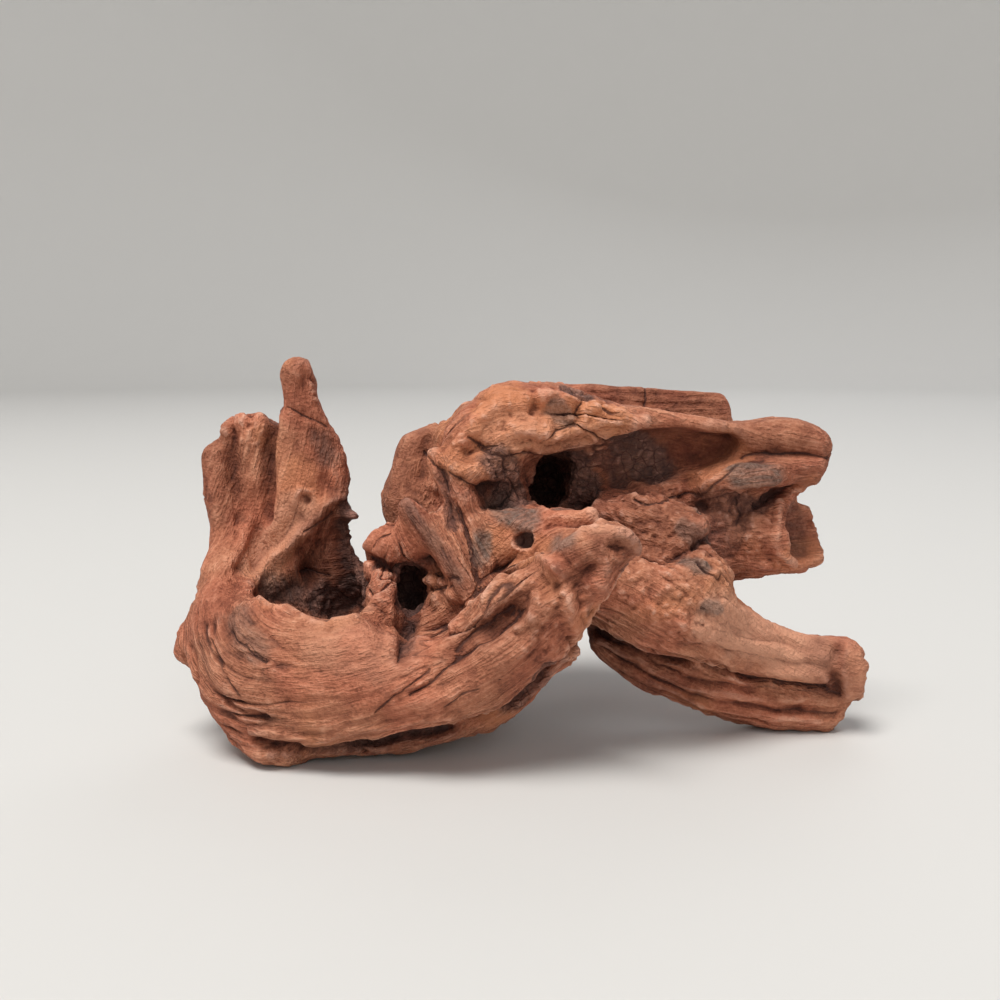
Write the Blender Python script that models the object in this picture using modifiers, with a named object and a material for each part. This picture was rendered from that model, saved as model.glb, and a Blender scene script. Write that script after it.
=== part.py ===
"""Aquarium driftwood: one weathered root burl, 200 mm long, resting on three worn feet.

Metres, +Z up, X to the right and Y away from the front. The wood is one solid. Its limbs are lofts that
follow the grain, a voxel remesh fuses them, other lofts carve its hollows, and strokes score its skin.
What the front view shows is placed by picture coordinates and depth, the rest in plain millimetres.
"""

import math

import bmesh
import bpy
import numpy as np
from mathutils import Vector, noise
from mathutils.bvhtree import BVHTree
from mathutils.kdtree import KDTree

MM = 0.001

# Driving dimensions
LENGTH = 200 * MM
EYE_HEIGHT = 120 * MM
EYE_PITCH = math.radians(8.5)

# The front view: a picture 1000 units square, in which the wood spans SPAN units
FOCAL = 1100
SPAN = 688
MIDDLE = 500
SPAN_MIDDLE = 522
EYE_DISTANCE = FOCAL * LENGTH / SPAN
EYE = Vector((-(SPAN_MIDDLE - MIDDLE) / FOCAL * EYE_DISTANCE, -EYE_DISTANCE, EYE_HEIGHT))

# Mesh sizes: the voxels that fuse the limbs, the points round a limb and the step along it
COARSE_VOXEL = 1.4 * MM
FINE_VOXEL = 1.1 * MM
RING = 40
STATION_STEP = 2 * MM
FILLET = 1.2 * MM
TRIANGLES = 10000

# The grain's ribs round a limb: how many in each set, and the length along it over which they twist
RIB_SETS = (2, 3, 5, 7, 10)
RIB_TWIST_LENGTH = 20 * MM

# The least radius squared at a limb's rounded end, and the least slope at which a rod still faces the eye
BLUNT_END = 0.03
LEAST_FACING = 0.35
AWAY = np.array([0.0, 1.0, 0.0])

# The swells of the skin: size and height in mm, and where each set starts in the noise
SWELLS = ((11, 0.9, (0, 0, 0)), (5, 0.5, (7, 3, 5)))

# How far apart a stroke's points lie in the front view
STROKE_STEP = 2

# Collections: the finished wood, and the limbs and cutters that it is made from
FINISHED = "aquarium_driftwood"
WORKSHOP = "cutters"

WOOD_COLOUR = (0.37, 0.13, 0.065, 1)
WOOD_ROUGHNESS = 0.82


def placed(obj, collection_name):
    """obj, put in the collection of this name."""
    collection = bpy.data.collections.get(collection_name)
    if not collection:
        collection = bpy.data.collections.new(collection_name)
        bpy.context.scene.collection.children.link(collection)
    collection.objects.link(obj)
    return obj


def sight(across, down):
    """The direction in which the eye sees this place of the front view, one unit deep."""
    right = (across - MIDDLE) / FOCAL
    up = -(down - MIDDLE) / FOCAL
    forward = math.cos(EYE_PITCH) + up * math.sin(EYE_PITCH)
    rise = up * math.cos(EYE_PITCH) - math.sin(EYE_PITCH)
    return Vector((right / forward, 1, rise / forward))


def seen(across, down, depth):
    """The point at this place of the front view and this depth, in mm behind the middle plane."""
    return EYE + (depth * MM - EYE.y) * sight(across, down)


def at(x, y, z):
    """A point given straight in millimetres, for what the front view hides."""
    return Vector((x, y, z)) * MM


def spline(rows, step):
    """Rows of numbers, the first three a point, joined by a Catmull-Rom curve and read at every step."""
    rows = np.array(rows, float)
    padded = np.vstack([2 * rows[0] - rows[1], rows, 2 * rows[-1] - rows[-2]])
    out = []
    for i in range(len(rows) - 1):
        p0, p1, p2, p3 = padded[i : i + 4]
        count = max(2, round(float(np.linalg.norm(p2[:3] - p1[:3])) / step))
        for t in np.arange(count) / count:
            bend = 2 * p0 - 5 * p1 + 4 * p2 - p3
            swing = 3 * p1 - p0 - 3 * p2 + p3
            out.append(0.5 * (2 * p1 + (p2 - p0) * t + bend * t**2 + swing * t**3))
    out.append(rows[-1])
    return np.array(out)


def unit(v):
    return v / max(np.linalg.norm(v), 1e-12)


def loft(name, path, flutes, seed, ends, square):
    """A closed skin over sections. Each row of path is a centre, a half width vector and a half thickness.

    flutes is the depth of the grain's ribs as a share of the radius; ends is how far each end's rounding
    reaches, in half widths; square is the section's power, 2 for an ellipse and more for flatter faces.
    """
    points = path[:, :3]
    tangents = np.gradient(points, axis=0)
    arc = np.concatenate([[0], np.cumsum(np.linalg.norm(np.diff(points, axis=0), axis=1))])
    rng = np.random.default_rng(seed)
    waves = []
    for n in RIB_SETS:
        waves.append((n, rng.uniform(0, 6.28), rng.uniform(-0.6, 0.6), rng.uniform(0.4, 1.0)))
    angles = np.arange(RING) * 2 * math.pi / RING
    outline = (np.abs(np.cos(angles)) ** square + np.abs(np.sin(angles)) ** square) ** (-1 / square)
    rings = []
    for i, row in enumerate(path):
        width = np.linalg.norm(row[3:6])
        across = row[3:6] / max(width, 1e-9)
        through = unit(np.cross(tangents[i], across))
        start = arc[i] / max(ends[0] * width, 1e-6)
        stop = (arc[-1] - arc[i]) / max(ends[1] * width, 1e-6)
        taper = math.sqrt(max(1 - max(1 - min(start, stop), 0) ** 2, BLUNT_END))
        turn = arc[i] / RIB_TWIST_LENGTH
        ripple = sum(w * np.cos(n * angles + p + twist * turn) for n, p, twist, w in waves)
        radius = taper * (1 + flutes * ripple / 2) * outline
        rings.append(
            row[:3]
            + np.outer(width * radius * np.cos(angles), across)
            + np.outer(row[6] * radius * np.sin(angles), through)
        )
    verts = np.concatenate([*rings, [points[0]], [points[-1]]])
    last = len(verts) - 2
    top = (len(rings) - 1) * RING
    faces = []
    for k in range(RING):
        n = (k + 1) % RING
        faces += [(i + k, i + n, i + RING + n, i + RING + k) for i in range(0, top, RING)]
        faces += [(last, n, k), (last + 1, top + k, top + n)]
    mesh = bpy.data.meshes.new(name)
    mesh.from_pydata([tuple(v) for v in verts], [], faces)
    bm = bmesh.new()
    bm.from_mesh(mesh)
    bmesh.ops.recalc_face_normals(bm, faces=bm.faces)
    bm.to_mesh(mesh)
    bm.free()
    return placed(bpy.data.objects.new(name, mesh), WORKSHOP)


def rod(name, stations, flutes=0.10, seed=0, ends=(0.8, 0.8), square=2):
    """A limb of stations (point, half width seen from the front, half thickness), in mm."""
    rows = spline([[*p, width * MM, thick * MM] for p, width, thick in stations], STATION_STEP)
    tangents = np.gradient(rows[:, :3], axis=0)
    facing = AWAY
    path = []
    for row, tangent in zip(rows, tangents):
        along = unit(tangent)
        ahead = AWAY - along[1] * along
        if np.linalg.norm(ahead) <= LEAST_FACING:
            ahead = facing - facing.dot(along) * along
        facing = unit(ahead)
        path.append([*row[:3], *(np.cross(along, facing) * row[3]), row[4]])
    return loft(name, np.array(path), flutes, seed, ends, square)


def sheet(name, stations, flutes=0.06, seed=0, ends=(0.5, 0.5), square=2.5):
    """A limb of stations (point on one edge, point on the other edge, half thickness in mm)."""
    rows = [[*((a + b) / 2), *((b - a) / 2), thick * MM] for a, b, thick in stations]
    return loft(name, spline(rows, STATION_STEP), flutes, seed, ends, square)


def band(name, stations, **options):
    """A sheet whose edges are both seen: stations (x, y, x, y, depth, half thickness[, other depth])."""
    rows = []
    for x1, y1, x2, y2, depth, thick, *other in stations:
        rows.append((seen(x1, y1, depth), seen(x2, y2, other[0] if other else depth), thick))
    return sheet(name, rows, **options)


def stem(name, stations, **options):
    """A rod seen from the front: stations (x, y, depth, half width, half thickness)."""
    return rod(name, [(seen(x, y, depth), width, thick) for x, y, depth, width, thick in stations], **options)


def baked(obj):
    """obj with its modifiers applied."""
    graph = bpy.context.evaluated_depsgraph_get()
    mesh = bpy.data.meshes.new_from_object(obj.evaluated_get(graph))
    mesh.name = obj.name
    obj.modifiers.clear()
    obj.data = mesh
    return obj


def joined(objects, name):
    """One object that holds every given object's mesh, which are then removed."""
    bm = bmesh.new()
    for obj in objects:
        bm.from_mesh(obj.data)
    mesh = bpy.data.meshes.new(name)
    bm.to_mesh(mesh)
    bm.free()
    for obj in objects:
        bpy.data.objects.remove(obj)
    return placed(bpy.data.objects.new(name, mesh), WORKSHOP)


def remeshed(obj, voxel, smooth=0):
    """obj with its overlapping shells fused into one skin of this voxel size, then smoothed."""
    remesh = obj.modifiers.new("fuse", "REMESH")
    remesh.mode = "VOXEL"
    remesh.voxel_size = voxel
    if smooth:
        ease = obj.modifiers.new("ease", "SMOOTH")
        ease.iterations = smooth
    return baked(obj)


def read(mesh, what):
    """A row for each of mesh's points: its "co" or its "normal"."""
    values = np.empty(len(mesh.vertices) * 3, np.float32)
    mesh.vertices.foreach_get(what, values)
    return values.reshape(-1, 3).astype(float)


def moved(obj, offsets):
    """obj with every point moved by its row of offsets."""
    mesh = obj.data
    mesh.vertices.foreach_set("co", (read(mesh, "co") + offsets).astype(np.float32).ravel())
    mesh.update()
    return obj


def puffed(obj, amount):
    """obj with its skin moved out by this amount, or in where it is negative."""
    return moved(obj, read(obj.data, "normal") * amount)


def carve(obj, cutters):
    """Cuts the fused cutters out of obj."""
    tool = remeshed(joined(cutters, "hollows"), COARSE_VOXEL, smooth=1)
    tool.hide_render = True
    tool.display_type = "WIRE"
    cut = obj.modifiers.new("hollows", "BOOLEAN")
    cut.operation = "DIFFERENCE"
    cut.object = tool
    baked(obj)
    bpy.data.objects.remove(tool)
    return obj


def score(obj, strokes):
    """Presses strokes into obj's skin where the eye sees them, or raises it where the height is positive.

    A stroke is (half width in mm, height in mm, its places in the front view).
    """
    tree = BVHTree.FromObject(obj, bpy.context.evaluated_depsgraph_get())
    points = read(obj.data, "co")
    normals = read(obj.data, "normal")
    offsets = np.zeros_like(points)
    for reach, height, places in strokes:
        hits = []
        for (x1, y1), (x2, y2) in zip(places, places[1:]):
            steps = max(2, round(math.dist((x1, y1), (x2, y2)) / STROKE_STEP))
            for t in np.arange(steps + 1) / steps:
                towards = sight(x1 + (x2 - x1) * t, y1 + (y2 - y1) * t).normalized()
                hit = tree.ray_cast(EYE, towards)[0]
                if hit:
                    hits.append(hit)
        marks = KDTree(len(hits))
        for i, hit in enumerate(hits):
            marks.insert(hit, i)
        marks.balance()
        middle = np.mean([tuple(h) for h in hits], axis=0)
        span = max(np.linalg.norm(np.array(h) - middle) for h in hits) + 2 * reach * MM
        near = np.nonzero(np.linalg.norm(points - middle, axis=1) < span)[0]
        for i in near:
            away = marks.find(points[i])[2] / (reach * MM)
            if away < 1:
                offsets[i] += normals[i] * height * MM * (1 - away**2) ** 2
    return moved(obj, offsets)


def swells(mesh):
    """Offsets along the normals that break up the even surfaces."""
    heights = []
    for p in read(mesh, "co"):
        total = 0
        for size, height, start in SWELLS:
            total += height * noise.noise(Vector(p) / (size * MM) + Vector(start))
        heights.append(total)
    return read(mesh, "normal") * np.array(heights)[:, None] * MM


def front_limbs():
    """The front wall of the bowl, which runs on to the right as the front limb and ends in the knuckle."""
    return [
        band("front_wall", [
            (207, 555, 254, 548, 14, 7),
            (200, 600, 246, 591, 6, 8),
            (196, 655, 258, 597, -6, 9),
            (212, 712, 282, 609, -15, 10),
            (258, 742, 303, 617, -21, 10),
            (318, 743, 326, 623, -25, 10),
            (375, 734, 355, 617, -26, 11),
            (420, 726, 392, 636, -27, 12),
            (462, 716, 440, 640, -28, 12),
            (505, 700, 478, 604, -28, 12),
            (538, 676, 508, 574, -29, 11.5),
            (568, 652, 536, 560, -30, 10.5),
            (588, 626, 562, 536, -32, 9.5),
            (602, 602, 585, 526, -34, 8.5),
            (613, 584, 604, 524, -36, 8),
            (622, 568, 617, 524, -38, 7),
            (633, 563, 630, 528, -39, 6),
            (643, 560, 643, 544, -40, 4),
        ], seed=1, ends=(0.5, 0.4), square=2.2),
        rod("bowl_floor", [
            (at(-82, 4, 26), 9, 10),
            (at(-66, 0, 15), 11, 14),
            (at(-42, -2, 13), 10, 18),
            (at(-18, -4, 18), 12, 18),
            (at(4, -4, 34), 14, 18),
        ], seed=2),
        band("left_foot", [
            (208, 700, 285, 725, -14, 9),
            (232, 738, 298, 746, -20, 9),
            (254, 760, 301, 760, -24, 7),
            (270, 772, 298, 773, -26, 5),
        ], flutes=0.12, seed=3),
        stem("nub", [
            (206, 606, 2, 4, 5),
            (196, 635, 0, 4.5, 5),
            (187, 656, -1, 4.2, 5),
            (186, 668, -1, 3.4, 4),
        ], seed=4),
        band("under_lip", [
            (285, 735, 300, 752, -18, 6),
            (345, 738, 348, 752, -18, 6),
            (400, 738, 401, 752, -17, 6),
            (450, 722, 453, 739, -16, 7),
            (503, 698, 510, 718, -15, 6),
            (560, 650, 572, 656, -16, 6),
            (578, 632, 586, 640, -20, 3),
        ], seed=5),
        band("tab", [
            (540, 512, 548, 530, -14, 5),
            (575, 507, 580, 521, -20, 3.6),
            (606, 510, 604, 522, -24, 2.2),
        ], seed=6),
        band("limb_shoulder", [
            (485, 510, 470, 600, -4, 9),
            (525, 508, 515, 575, -10, 9),
            (560, 516, 555, 580, -17, 9),
            (590, 526, 590, 575, -26, 7),
        ], seed=7),
    ]


def fin():
    """The upright fin at the left: flange, middle lobe, finger and thorn."""
    return [
        band("fin_flange", [
            (198, 446, 228, 432, 22, 4),
            (201, 476, 240, 474, 23, 4.5),
            (207, 530, 250, 528, 20, 5),
            (204, 575, 254, 570, 15, 7),
            (201, 615, 262, 600, 9, 9),
            (204, 670, 268, 650, 3, 9),
        ], seed=10, ends=(0.2, 0.2)),
        band("fin_lobe", [
            (219, 414, 279, 411, 25, 4.6),
            (222, 450, 281, 450, 26, 5),
            (228, 500, 282, 500, 26, 5.5),
            (234, 550, 290, 550, 25, 6),
            (240, 605, 300, 605, 22, 7),
        ], seed=11, ends=(0.15, 0.2)),
        band("fin_finger", [
            (288, 354, 310, 355, 20, 4.6),
            (280, 372, 315, 372, 20, 5.4),
            (283, 396, 317, 398, 20, 4.8),
            (279, 414, 326, 414, 20, 5),
            (275, 445, 345, 445, 21, 5.5),
            (272, 480, 348, 480, 21, 6),
            (266, 520, 349, 518, 21, 6.5),
            (258, 560, 356, 554, 21, 7),
            (250, 605, 372, 600, 19, 7.5),
            (245, 660, 392, 650, 14, 9),
        ], seed=12, ends=(0.3, 0.3)),
        stem("thorn", [
            (344, 514, 20, 3, 3),
            (353, 515, 20, 2, 2),
            (365, 515, 20, 0.8, 0.8),
        ], flutes=0, seed=13),
        stem("wart", [(340, 500, 18, 3, 3), (351, 500, 18, 2.4, 2.4)], flutes=0.1, seed=14),
    ]


def small_lobes():
    """The petal, knob, column and pebbles between the bowl and the spikes."""
    return [
        stem("core", [
            (372, 610, 20, 7, 9),
            (405, 580, 16, 12, 13),
            (450, 560, 12, 15, 15),
            (510, 560, 8, 15, 16),
            (590, 570, 6, 15, 15),
        ], seed=20),
        stem("core_front", [
            (384, 650, -2, 9, 12),
            (430, 640, -6, 9, 12),
            (470, 600, -8, 10, 10),
            (520, 580, -8, 12, 12),
        ], seed=21),
        band("petal", [
            (361, 546, 363, 551, -3, 2),
            (369, 533, 374, 559, -3, 4.5),
            (386, 523, 390, 566, -4, 6.5),
            (406, 524, 412, 566, -4, 7),
            (432, 530, 436, 560, -3, 6),
        ], seed=22, ends=(0.4, 0.3)),
        stem("knob", [
            (357, 566, -4, 3.4, 3.6),
            (368, 569, -4, 3.4, 3.6),
            (381, 577, -6, 4.4, 4.6),
            (386, 594, -10, 5.4, 6),
            (382, 622, -18, 9, 8),
        ], flutes=0.15, seed=23),
        stem("bowl_side", [(366, 566, 12, 5, 6), (378, 590, 8, 6, 7), (390, 620, 4, 8, 8)], seed=24),
        stem("pebble_a", [(430, 575, -6, 3.4, 4), (446, 584, -8, 4, 4)], seed=25),
        stem("pebble_b", [(436, 600, -11, 4.2, 4), (454, 601, -13, 4, 4)], seed=26),
        band("spike_a", [
            (391, 499, 403, 490, -9, 2.4),
            (399, 516, 420, 502, -10, 3.4),
            (414, 535, 440, 521, -12, 3.8),
            (436, 560, 465, 553, -15, 4.4),
            (451, 584, 476, 580, -18, 4.8),
            (460, 602, 483, 602, -20, 5),
        ], flutes=0.12, seed=27, ends=(0.6, 0.5)),
        band("spike_b", [
            (417, 451, 430, 440, -8, 2.4),
            (428, 471, 446, 459, -8, 3.4),
            (441, 498, 466, 489, -8, 4.4),
            (454, 528, 487, 524, -9, 5.5),
            (466, 560, 496, 562, -12, 6),
            (478, 592, 498, 590, -17, 6),
        ], flutes=0.12, seed=28, ends=(0.6, 0.5)),
    ]


def upper_mass():
    """The upper mass with its brow over the cave, its back lobe and the plank behind."""
    return [
        band("back_lobe", [
            (402, 431, 478, 412, 30, 8),
            (394, 462, 478, 462, 30, 9),
            (382, 492, 470, 495, 28, 10),
            (382, 514, 460, 522, 26, 10),
            (392, 535, 450, 560, 20, 9),
        ], flutes=0.08, seed=30, ends=(0.2, 0.5), square=2.2),
        stem("upper_core", [
            (450, 480, 24, 15, 15),
            (500, 460, 22, 20, 20),
            (560, 455, 24, 20, 19),
            (630, 470, 22, 16, 14),
            (690, 480, 20, 13, 11),
        ], seed=31),
        band("brow", [
            (452, 424, 450, 466, 6, 8),
            (470, 405, 468, 472, 3, 11),
            (501, 383, 498, 474, 4, 13),
            (540, 380, 534, 452, 6, 14),
            (580, 387, 580, 440, 6, 12),
            (620, 406, 618, 430, 6, 9),
            (660, 411, 660, 426, 8, 8),
            (700, 417, 702, 431, 8, 7),
            (738, 422, 742, 440, 9, 6),
        ], flutes=0.08, seed=32, square=2.2),
        band("cheek", [
            (440, 455, 446, 530, 4, 8),
            (480, 460, 478, 530, 5, 8),
            (515, 462, 506, 525, 4, 8),
        ], flutes=0.1, seed=36),
        band("brow_lip", [
            (447, 459, 451, 474, -8, 4),
            (475, 463, 479, 479, -10, 4.5),
            (497, 471, 497, 486, -8, 4),
            (522, 466, 521, 482, -2, 4),
        ], seed=33),
        band("cave_sill", [
            (526, 474, 500, 498, 2, 6),
            (530, 500, 508, 516, -1, 6),
            (545, 512, 538, 528, -6, 6),
            (575, 514, 570, 530, -8, 6),
        ], seed=34),
        band("plank", [
            (520, 384, 525, 470, 34, 6),
            (560, 380, 565, 480, 42, 5),
            (645, 384, 650, 475, 47, 3.6),
            (700, 387, 703, 465, 49, 3),
            (734, 388, 736, 455, 50, 2.6),
        ], seed=35, ends=(0.3, 0.04)),
    ]


def wing():
    """The right wing: the face under the brow, the beak, the tongue and the lower channel."""
    return [
        band("wing_face", [
            (600, 430, 600, 560, 16, 9),
            (660, 425, 660, 560, 16, 8),
            (715, 425, 715, 550, 16, 7),
            (750, 425, 750, 520, 15, 6),
            (785, 430, 785, 498, 13, 5),
        ], seed=40),
        band("beak_top", [
            (700, 424, 700, 458, 13, 6),
            (737, 420, 742, 460, 12, 6),
            (770, 416, 772, 459, 11, 6.5),
            (800, 417, 800, 460, 10, 6.5),
            (822, 427, 824, 462, 9, 6),
            (835, 440, 832, 460, 9, 5.5),
        ], flutes=0.08, seed=41, ends=(0.5, 0.12)),
        band("beak_low", [
            (700, 452, 706, 490, 13, 7),
            (745, 450, 748, 492, 12, 8),
            (785, 449, 788, 489, 11, 8),
            (831, 452, 828, 481, 10, 7),
        ], flutes=0.08, seed=42, ends=(0.5, 0.1)),
        band("grey_ridge", [
            (690, 470, 700, 500, 7, 5),
            (740, 464, 748, 488, 3, 5),
            (784, 466, 786, 484, 1, 3.5),
        ], seed=43),
        band("tongue", [
            (590, 470, 600, 560, 6, 9),
            (640, 488, 640, 556, 1, 8),
            (676, 503, 674, 556, -1, 7),
            (700, 514, 696, 549, -3, 6),
            (712, 528, 708, 540, -3, 3.5),
        ], seed=44),
        band("channel", [
            (690, 500, 690, 585, 12, 9),
            (730, 496, 732, 580, 12, 9),
            (770, 496, 772, 575, 14, 10),
            (800, 499, 803, 569, 18, 10),
            (812, 506, 820, 567, 20, 9),
        ], flutes=0.08, seed=45, ends=(0.5, 0.05)),
    ]


def right_limbs():
    """The right mass with its leg and pale knob, and the fluted root beneath."""
    return [
        band("leg", [
            (560, 550, 552, 600, -6, 11),
            (610, 550, 592, 618, -8, 13),
            (660, 552, 622, 638, -9, 14),
            (706, 555, 660, 650, -8, 14),
            (729, 588, 695, 660, -5, 12.5),
            (756, 614, 730, 668, -1, 10),
            (790, 629, 775, 684, 1, 8),
            (822, 636, 812, 689, 2, 7.5),
            (845, 637, 836, 691, 3, 7.5),
            (862, 646, 855, 701, 4, 8),
            (867, 660, 863, 698, 4, 7),
        ], flutes=0.07, seed=50, ends=(0.5, 0.08), square=2.2),
        band("root", [
            (580, 600, 590, 650, 8, 9),
            (625, 625, 636, 684, 7, 10),
            (668, 640, 680, 701, 6, 10),
            (722, 655, 730, 718, 6, 9),
            (780, 675, 786, 729, 6, 8),
            (826, 686, 826, 731, 6, 7),
            (844, 697, 842, 718, 6, 6),
        ], flutes=0.10, seed=51, ends=(0.5, 0.1), square=2.2),
        stem("right_core", [
            (585, 610, 10, 12, 12),
            (620, 600, 12, 14, 12),
            (660, 590, 12, 14, 11),
            (700, 600, 10, 9, 9),
        ], seed=52),
        stem("shoulder", [(690, 560, -8, 7, 7), (710, 572, -8, 5.5, 6), (719, 592, -7, 3.5, 5)], seed=53),
    ]


def back_limbs():
    """What the front view hides: the third foot and the back of the burl."""
    return [
        rod("back_foot", [
            (at(-8, 20, 50), 18, 14),
            (at(-16, 36, 32), 14, 10),
            (at(-24, 48, 14), 10, 7.5),
            (at(-29, 54, -3), 8, 6),
        ], flutes=0.25, seed=60),
        rod("back_root", [
            (at(6, 30, 56), 12, 10),
            (at(14, 46, 40), 8, 7),
            (at(26, 52, 28), 5, 5),
            (at(40, 52, 24), 3, 3),
        ], flutes=0.2, seed=64),
        rod("back_swell", [
            (at(-40, 30, 60), 9, 9),
            (at(-10, 40, 66), 14, 12),
            (at(20, 44, 72), 13, 10),
            (at(50, 38, 74), 9, 8),
            (at(78, 30, 72), 6, 5),
        ], flutes=0.2, seed=61),
        rod("back_rib", [
            (at(-50, 18, 34), 8, 8),
            (at(-20, 28, 36), 10, 9),
            (at(10, 30, 44), 12, 10),
            (at(44, 26, 50), 10, 8),
            (at(70, 24, 56), 7, 7),
        ], flutes=0.2, seed=62),
        rod("back_bowl", [
            (at(-78, 14, 46), 9, 7),
            (at(-72, 16, 28), 10, 9),
            (at(-56, 14, 16), 11, 11),
            (at(-34, 20, 18), 10, 10),
        ], flutes=0.2, seed=63),
    ]


def hollows():
    """What the weather has eaten out."""
    return [
        rod("basin", [
            (seen(314, 552, -2), 10, 9),
            (seen(317, 590, -1), 13, 11),
            (seen(324, 640, -1), 12, 10.5),
            (seen(330, 680, -1), 9, 8),
        ], seed=70, square=2.3),
        band("basin_scoop", [
            (246, 592, 250, 640, 3, 4),
            (268, 572, 272, 650, 5, 7),
            (292, 550, 300, 655, 7, 8),
            (316, 528, 330, 655, 9, 8),
            (338, 508, 356, 640, 11, 8),
            (352, 498, 362, 600, 12, 6),
        ], seed=71, ends=(0.1, 0.1)),
        rod("basin_cave", [
            (seen(336, 610, 2), 9, 8),
            (seen(343, 610, 14), 8.5, 7.5),
            (seen(350, 614, 23), 6, 5),
        ], seed=72),
        rod("cave", [
            (seen(540, 488, 38), 5, 8),
            (seen(547, 484, 20), 6.5, 9),
            (seen(552, 482, 4), 6.5, 10),
            (seen(560, 480, -8), 8, 10),
        ], seed=73),
        band("face_hollow", [
            (552, 456, 560, 508, 0, 7),
            (600, 444, 606, 500, 0, 11),
            (650, 436, 650, 490, 1, 12),
            (700, 432, 700, 474, 3, 10),
            (744, 434, 746, 452, 4, 7),
        ], seed=74),
        rod("lobe_hole", [
            (seen(412, 588, 10), 4, 6),
            (seen(413, 588, -4), 5, 6),
            (seen(414, 606, -18), 5, 5.5),
            (seen(412, 634, -32), 4.5, 5),
            (seen(402, 664, -42), 3, 5),
        ], seed=75),
        rod("channel_bed", [
            (seen(778, 532, 8), 7, 5),
            (seen(800, 532, 9), 9.5, 6),
            (seen(840, 532, 10), 10, 7),
        ], seed=76, ends=(0.5, 0.1)),
        rod("knuckle_face", [
            (seen(596, 552, -46), 3, 3),
            (seen(614, 546, -45), 3.6, 4),
            (seen(640, 562, -44), 3, 4),
        ], seed=78),
    ]


# The grooves and pits that the front view shows: half width and height in mm, and their places in it
GROOVES = {
    "fin_finger_side": (2.6, -1.6, [(272, 416), (272, 450), (271, 490), (268, 515), (256, 541), (239, 570)]),
    "fin_flange_side": (2.4, -1.2, [(218, 436), (230, 462), (236, 490)]),
    "beak_line": (2.6, -1.8, [(744, 457), (767, 453), (796, 454), (831, 458)]),
    "under_leg": (2.6, -1.5, [(700, 664), (762, 681), (800, 684), (840, 692)]),
    "root_flute_middle": (2.4, -1.3, [(637, 661), (675, 681), (723, 702), (790, 709), (838, 714)]),
    "root_flute_low": (2.2, -1.0, [(662, 684), (713, 709), (764, 722)]),
    "root_flute_high": (2.4, -1.0, [(650, 648), (690, 660), (760, 668), (830, 678)]),
    "limb_crossing": (3.0, -1.6, [(588, 626), (636, 648), (682, 664)]),
    "tongue_crease": (2.2, -1.4, [(644, 556), (661, 560), (685, 554), (708, 540)]),
    "channel_cleft": (3.0, -1.8, [(752, 508), (776, 494), (795, 486)]),
    "foot_slot": (2.4, -1.4, [(229, 702), (243, 709), (265, 717)]),
    "petal_underside": (2.6, -1.6, [(362, 551), (382, 564), (396, 569), (413, 568)]),
    "knob_ring": (2.6, -1.4, [(842, 645), (840, 668), (838, 690)]),
    "bore_hole": (2.2, -1.8, [(519, 542), (530, 536)]),
    "limb_valley": (4.5, -1.8, [(522, 600), (500, 616), (473, 632), (456, 648)]),
}


def grounded(obj):
    """obj cut off flat where it stands, and what stays closed again."""
    bm = bmesh.new()
    bm.from_mesh(obj.data)
    geom = bm.verts[:] + bm.edges[:] + bm.faces[:]
    cut = bmesh.ops.bisect_plane(bm, geom=geom, plane_co=(0, 0, 0), plane_no=(0, 0, 1), clear_inner=True)
    rim = [e for e in cut["geom_cut"] if isinstance(e, bmesh.types.BMEdge)]
    soles = bmesh.ops.holes_fill(bm, edges=rim)["faces"]
    bmesh.ops.triangulate(bm, faces=soles)
    bm.to_mesh(obj.data)
    bm.free()
    return obj


def fitted(obj):
    """obj scaled to LENGTH and set with the middle of its box over the origin, its feet on the ground."""
    points = read(obj.data, "co")
    low, high = points.min(axis=0), points.max(axis=0)
    scale = LENGTH / (high[0] - low[0])
    middle = np.array([(low[0] + high[0]) / 2, (low[1] + high[1]) / 2, 0])
    return moved(obj, (points - middle) * scale - points)


def finished(obj):
    """obj in the finished collection, shaded smooth, in the wood's plain material."""
    for collection in obj.users_collection:
        collection.objects.unlink(obj)
    placed(obj, FINISHED)
    obj.data.shade_smooth()
    wood = bpy.data.materials.new("wood")
    wood.use_nodes = True
    shader = wood.node_tree.nodes["Principled BSDF"]
    shader.inputs["Base Color"].default_value = WOOD_COLOUR
    shader.inputs["Roughness"].default_value = WOOD_ROUGHNESS
    shader.inputs["Metallic"].default_value = 0
    obj.data.materials.append(wood)
    return obj


def driftwood():
    """The whole wood: its limbs fused and filleted, hollowed, scored, thinned and stood on its feet."""
    limbs = front_limbs() + fin() + small_lobes() + upper_mass() + wing() + right_limbs() + back_limbs()
    body = joined(limbs, "driftwood")
    remeshed(body, COARSE_VOXEL, smooth=1)
    puffed(body, FILLET)
    remeshed(body, COARSE_VOXEL, smooth=1)
    puffed(body, -FILLET)
    remeshed(body, COARSE_VOXEL)
    carve(body, hollows())
    remeshed(body, FINE_VOXEL, smooth=2)
    score(body, GROOVES.values())
    moved(body, swells(body.data))
    remeshed(body, FINE_VOXEL, smooth=1)
    thin = body.modifiers.new("thin", "DECIMATE")
    thin.ratio = TRIANGLES / (2 * len(body.data.polygons))
    baked(body)
    grounded(body)
    fitted(body)
    return finished(body)


def main():
    for obj in list(bpy.data.objects):
        bpy.data.objects.remove(obj)
    driftwood()


main()
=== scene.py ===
"""The look of the aquarium driftwood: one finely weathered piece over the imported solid, in cracked red wood.

Lengths in the tables are in mm. A place in the front view is (across, down) in a picture 1000 units square.
"""

import math

import bmesh
import bpy
import numpy as np
from mathutils import Euler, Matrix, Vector
from mathutils.bvhtree import BVHTree
from mathutils.kdtree import KDTree


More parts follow.
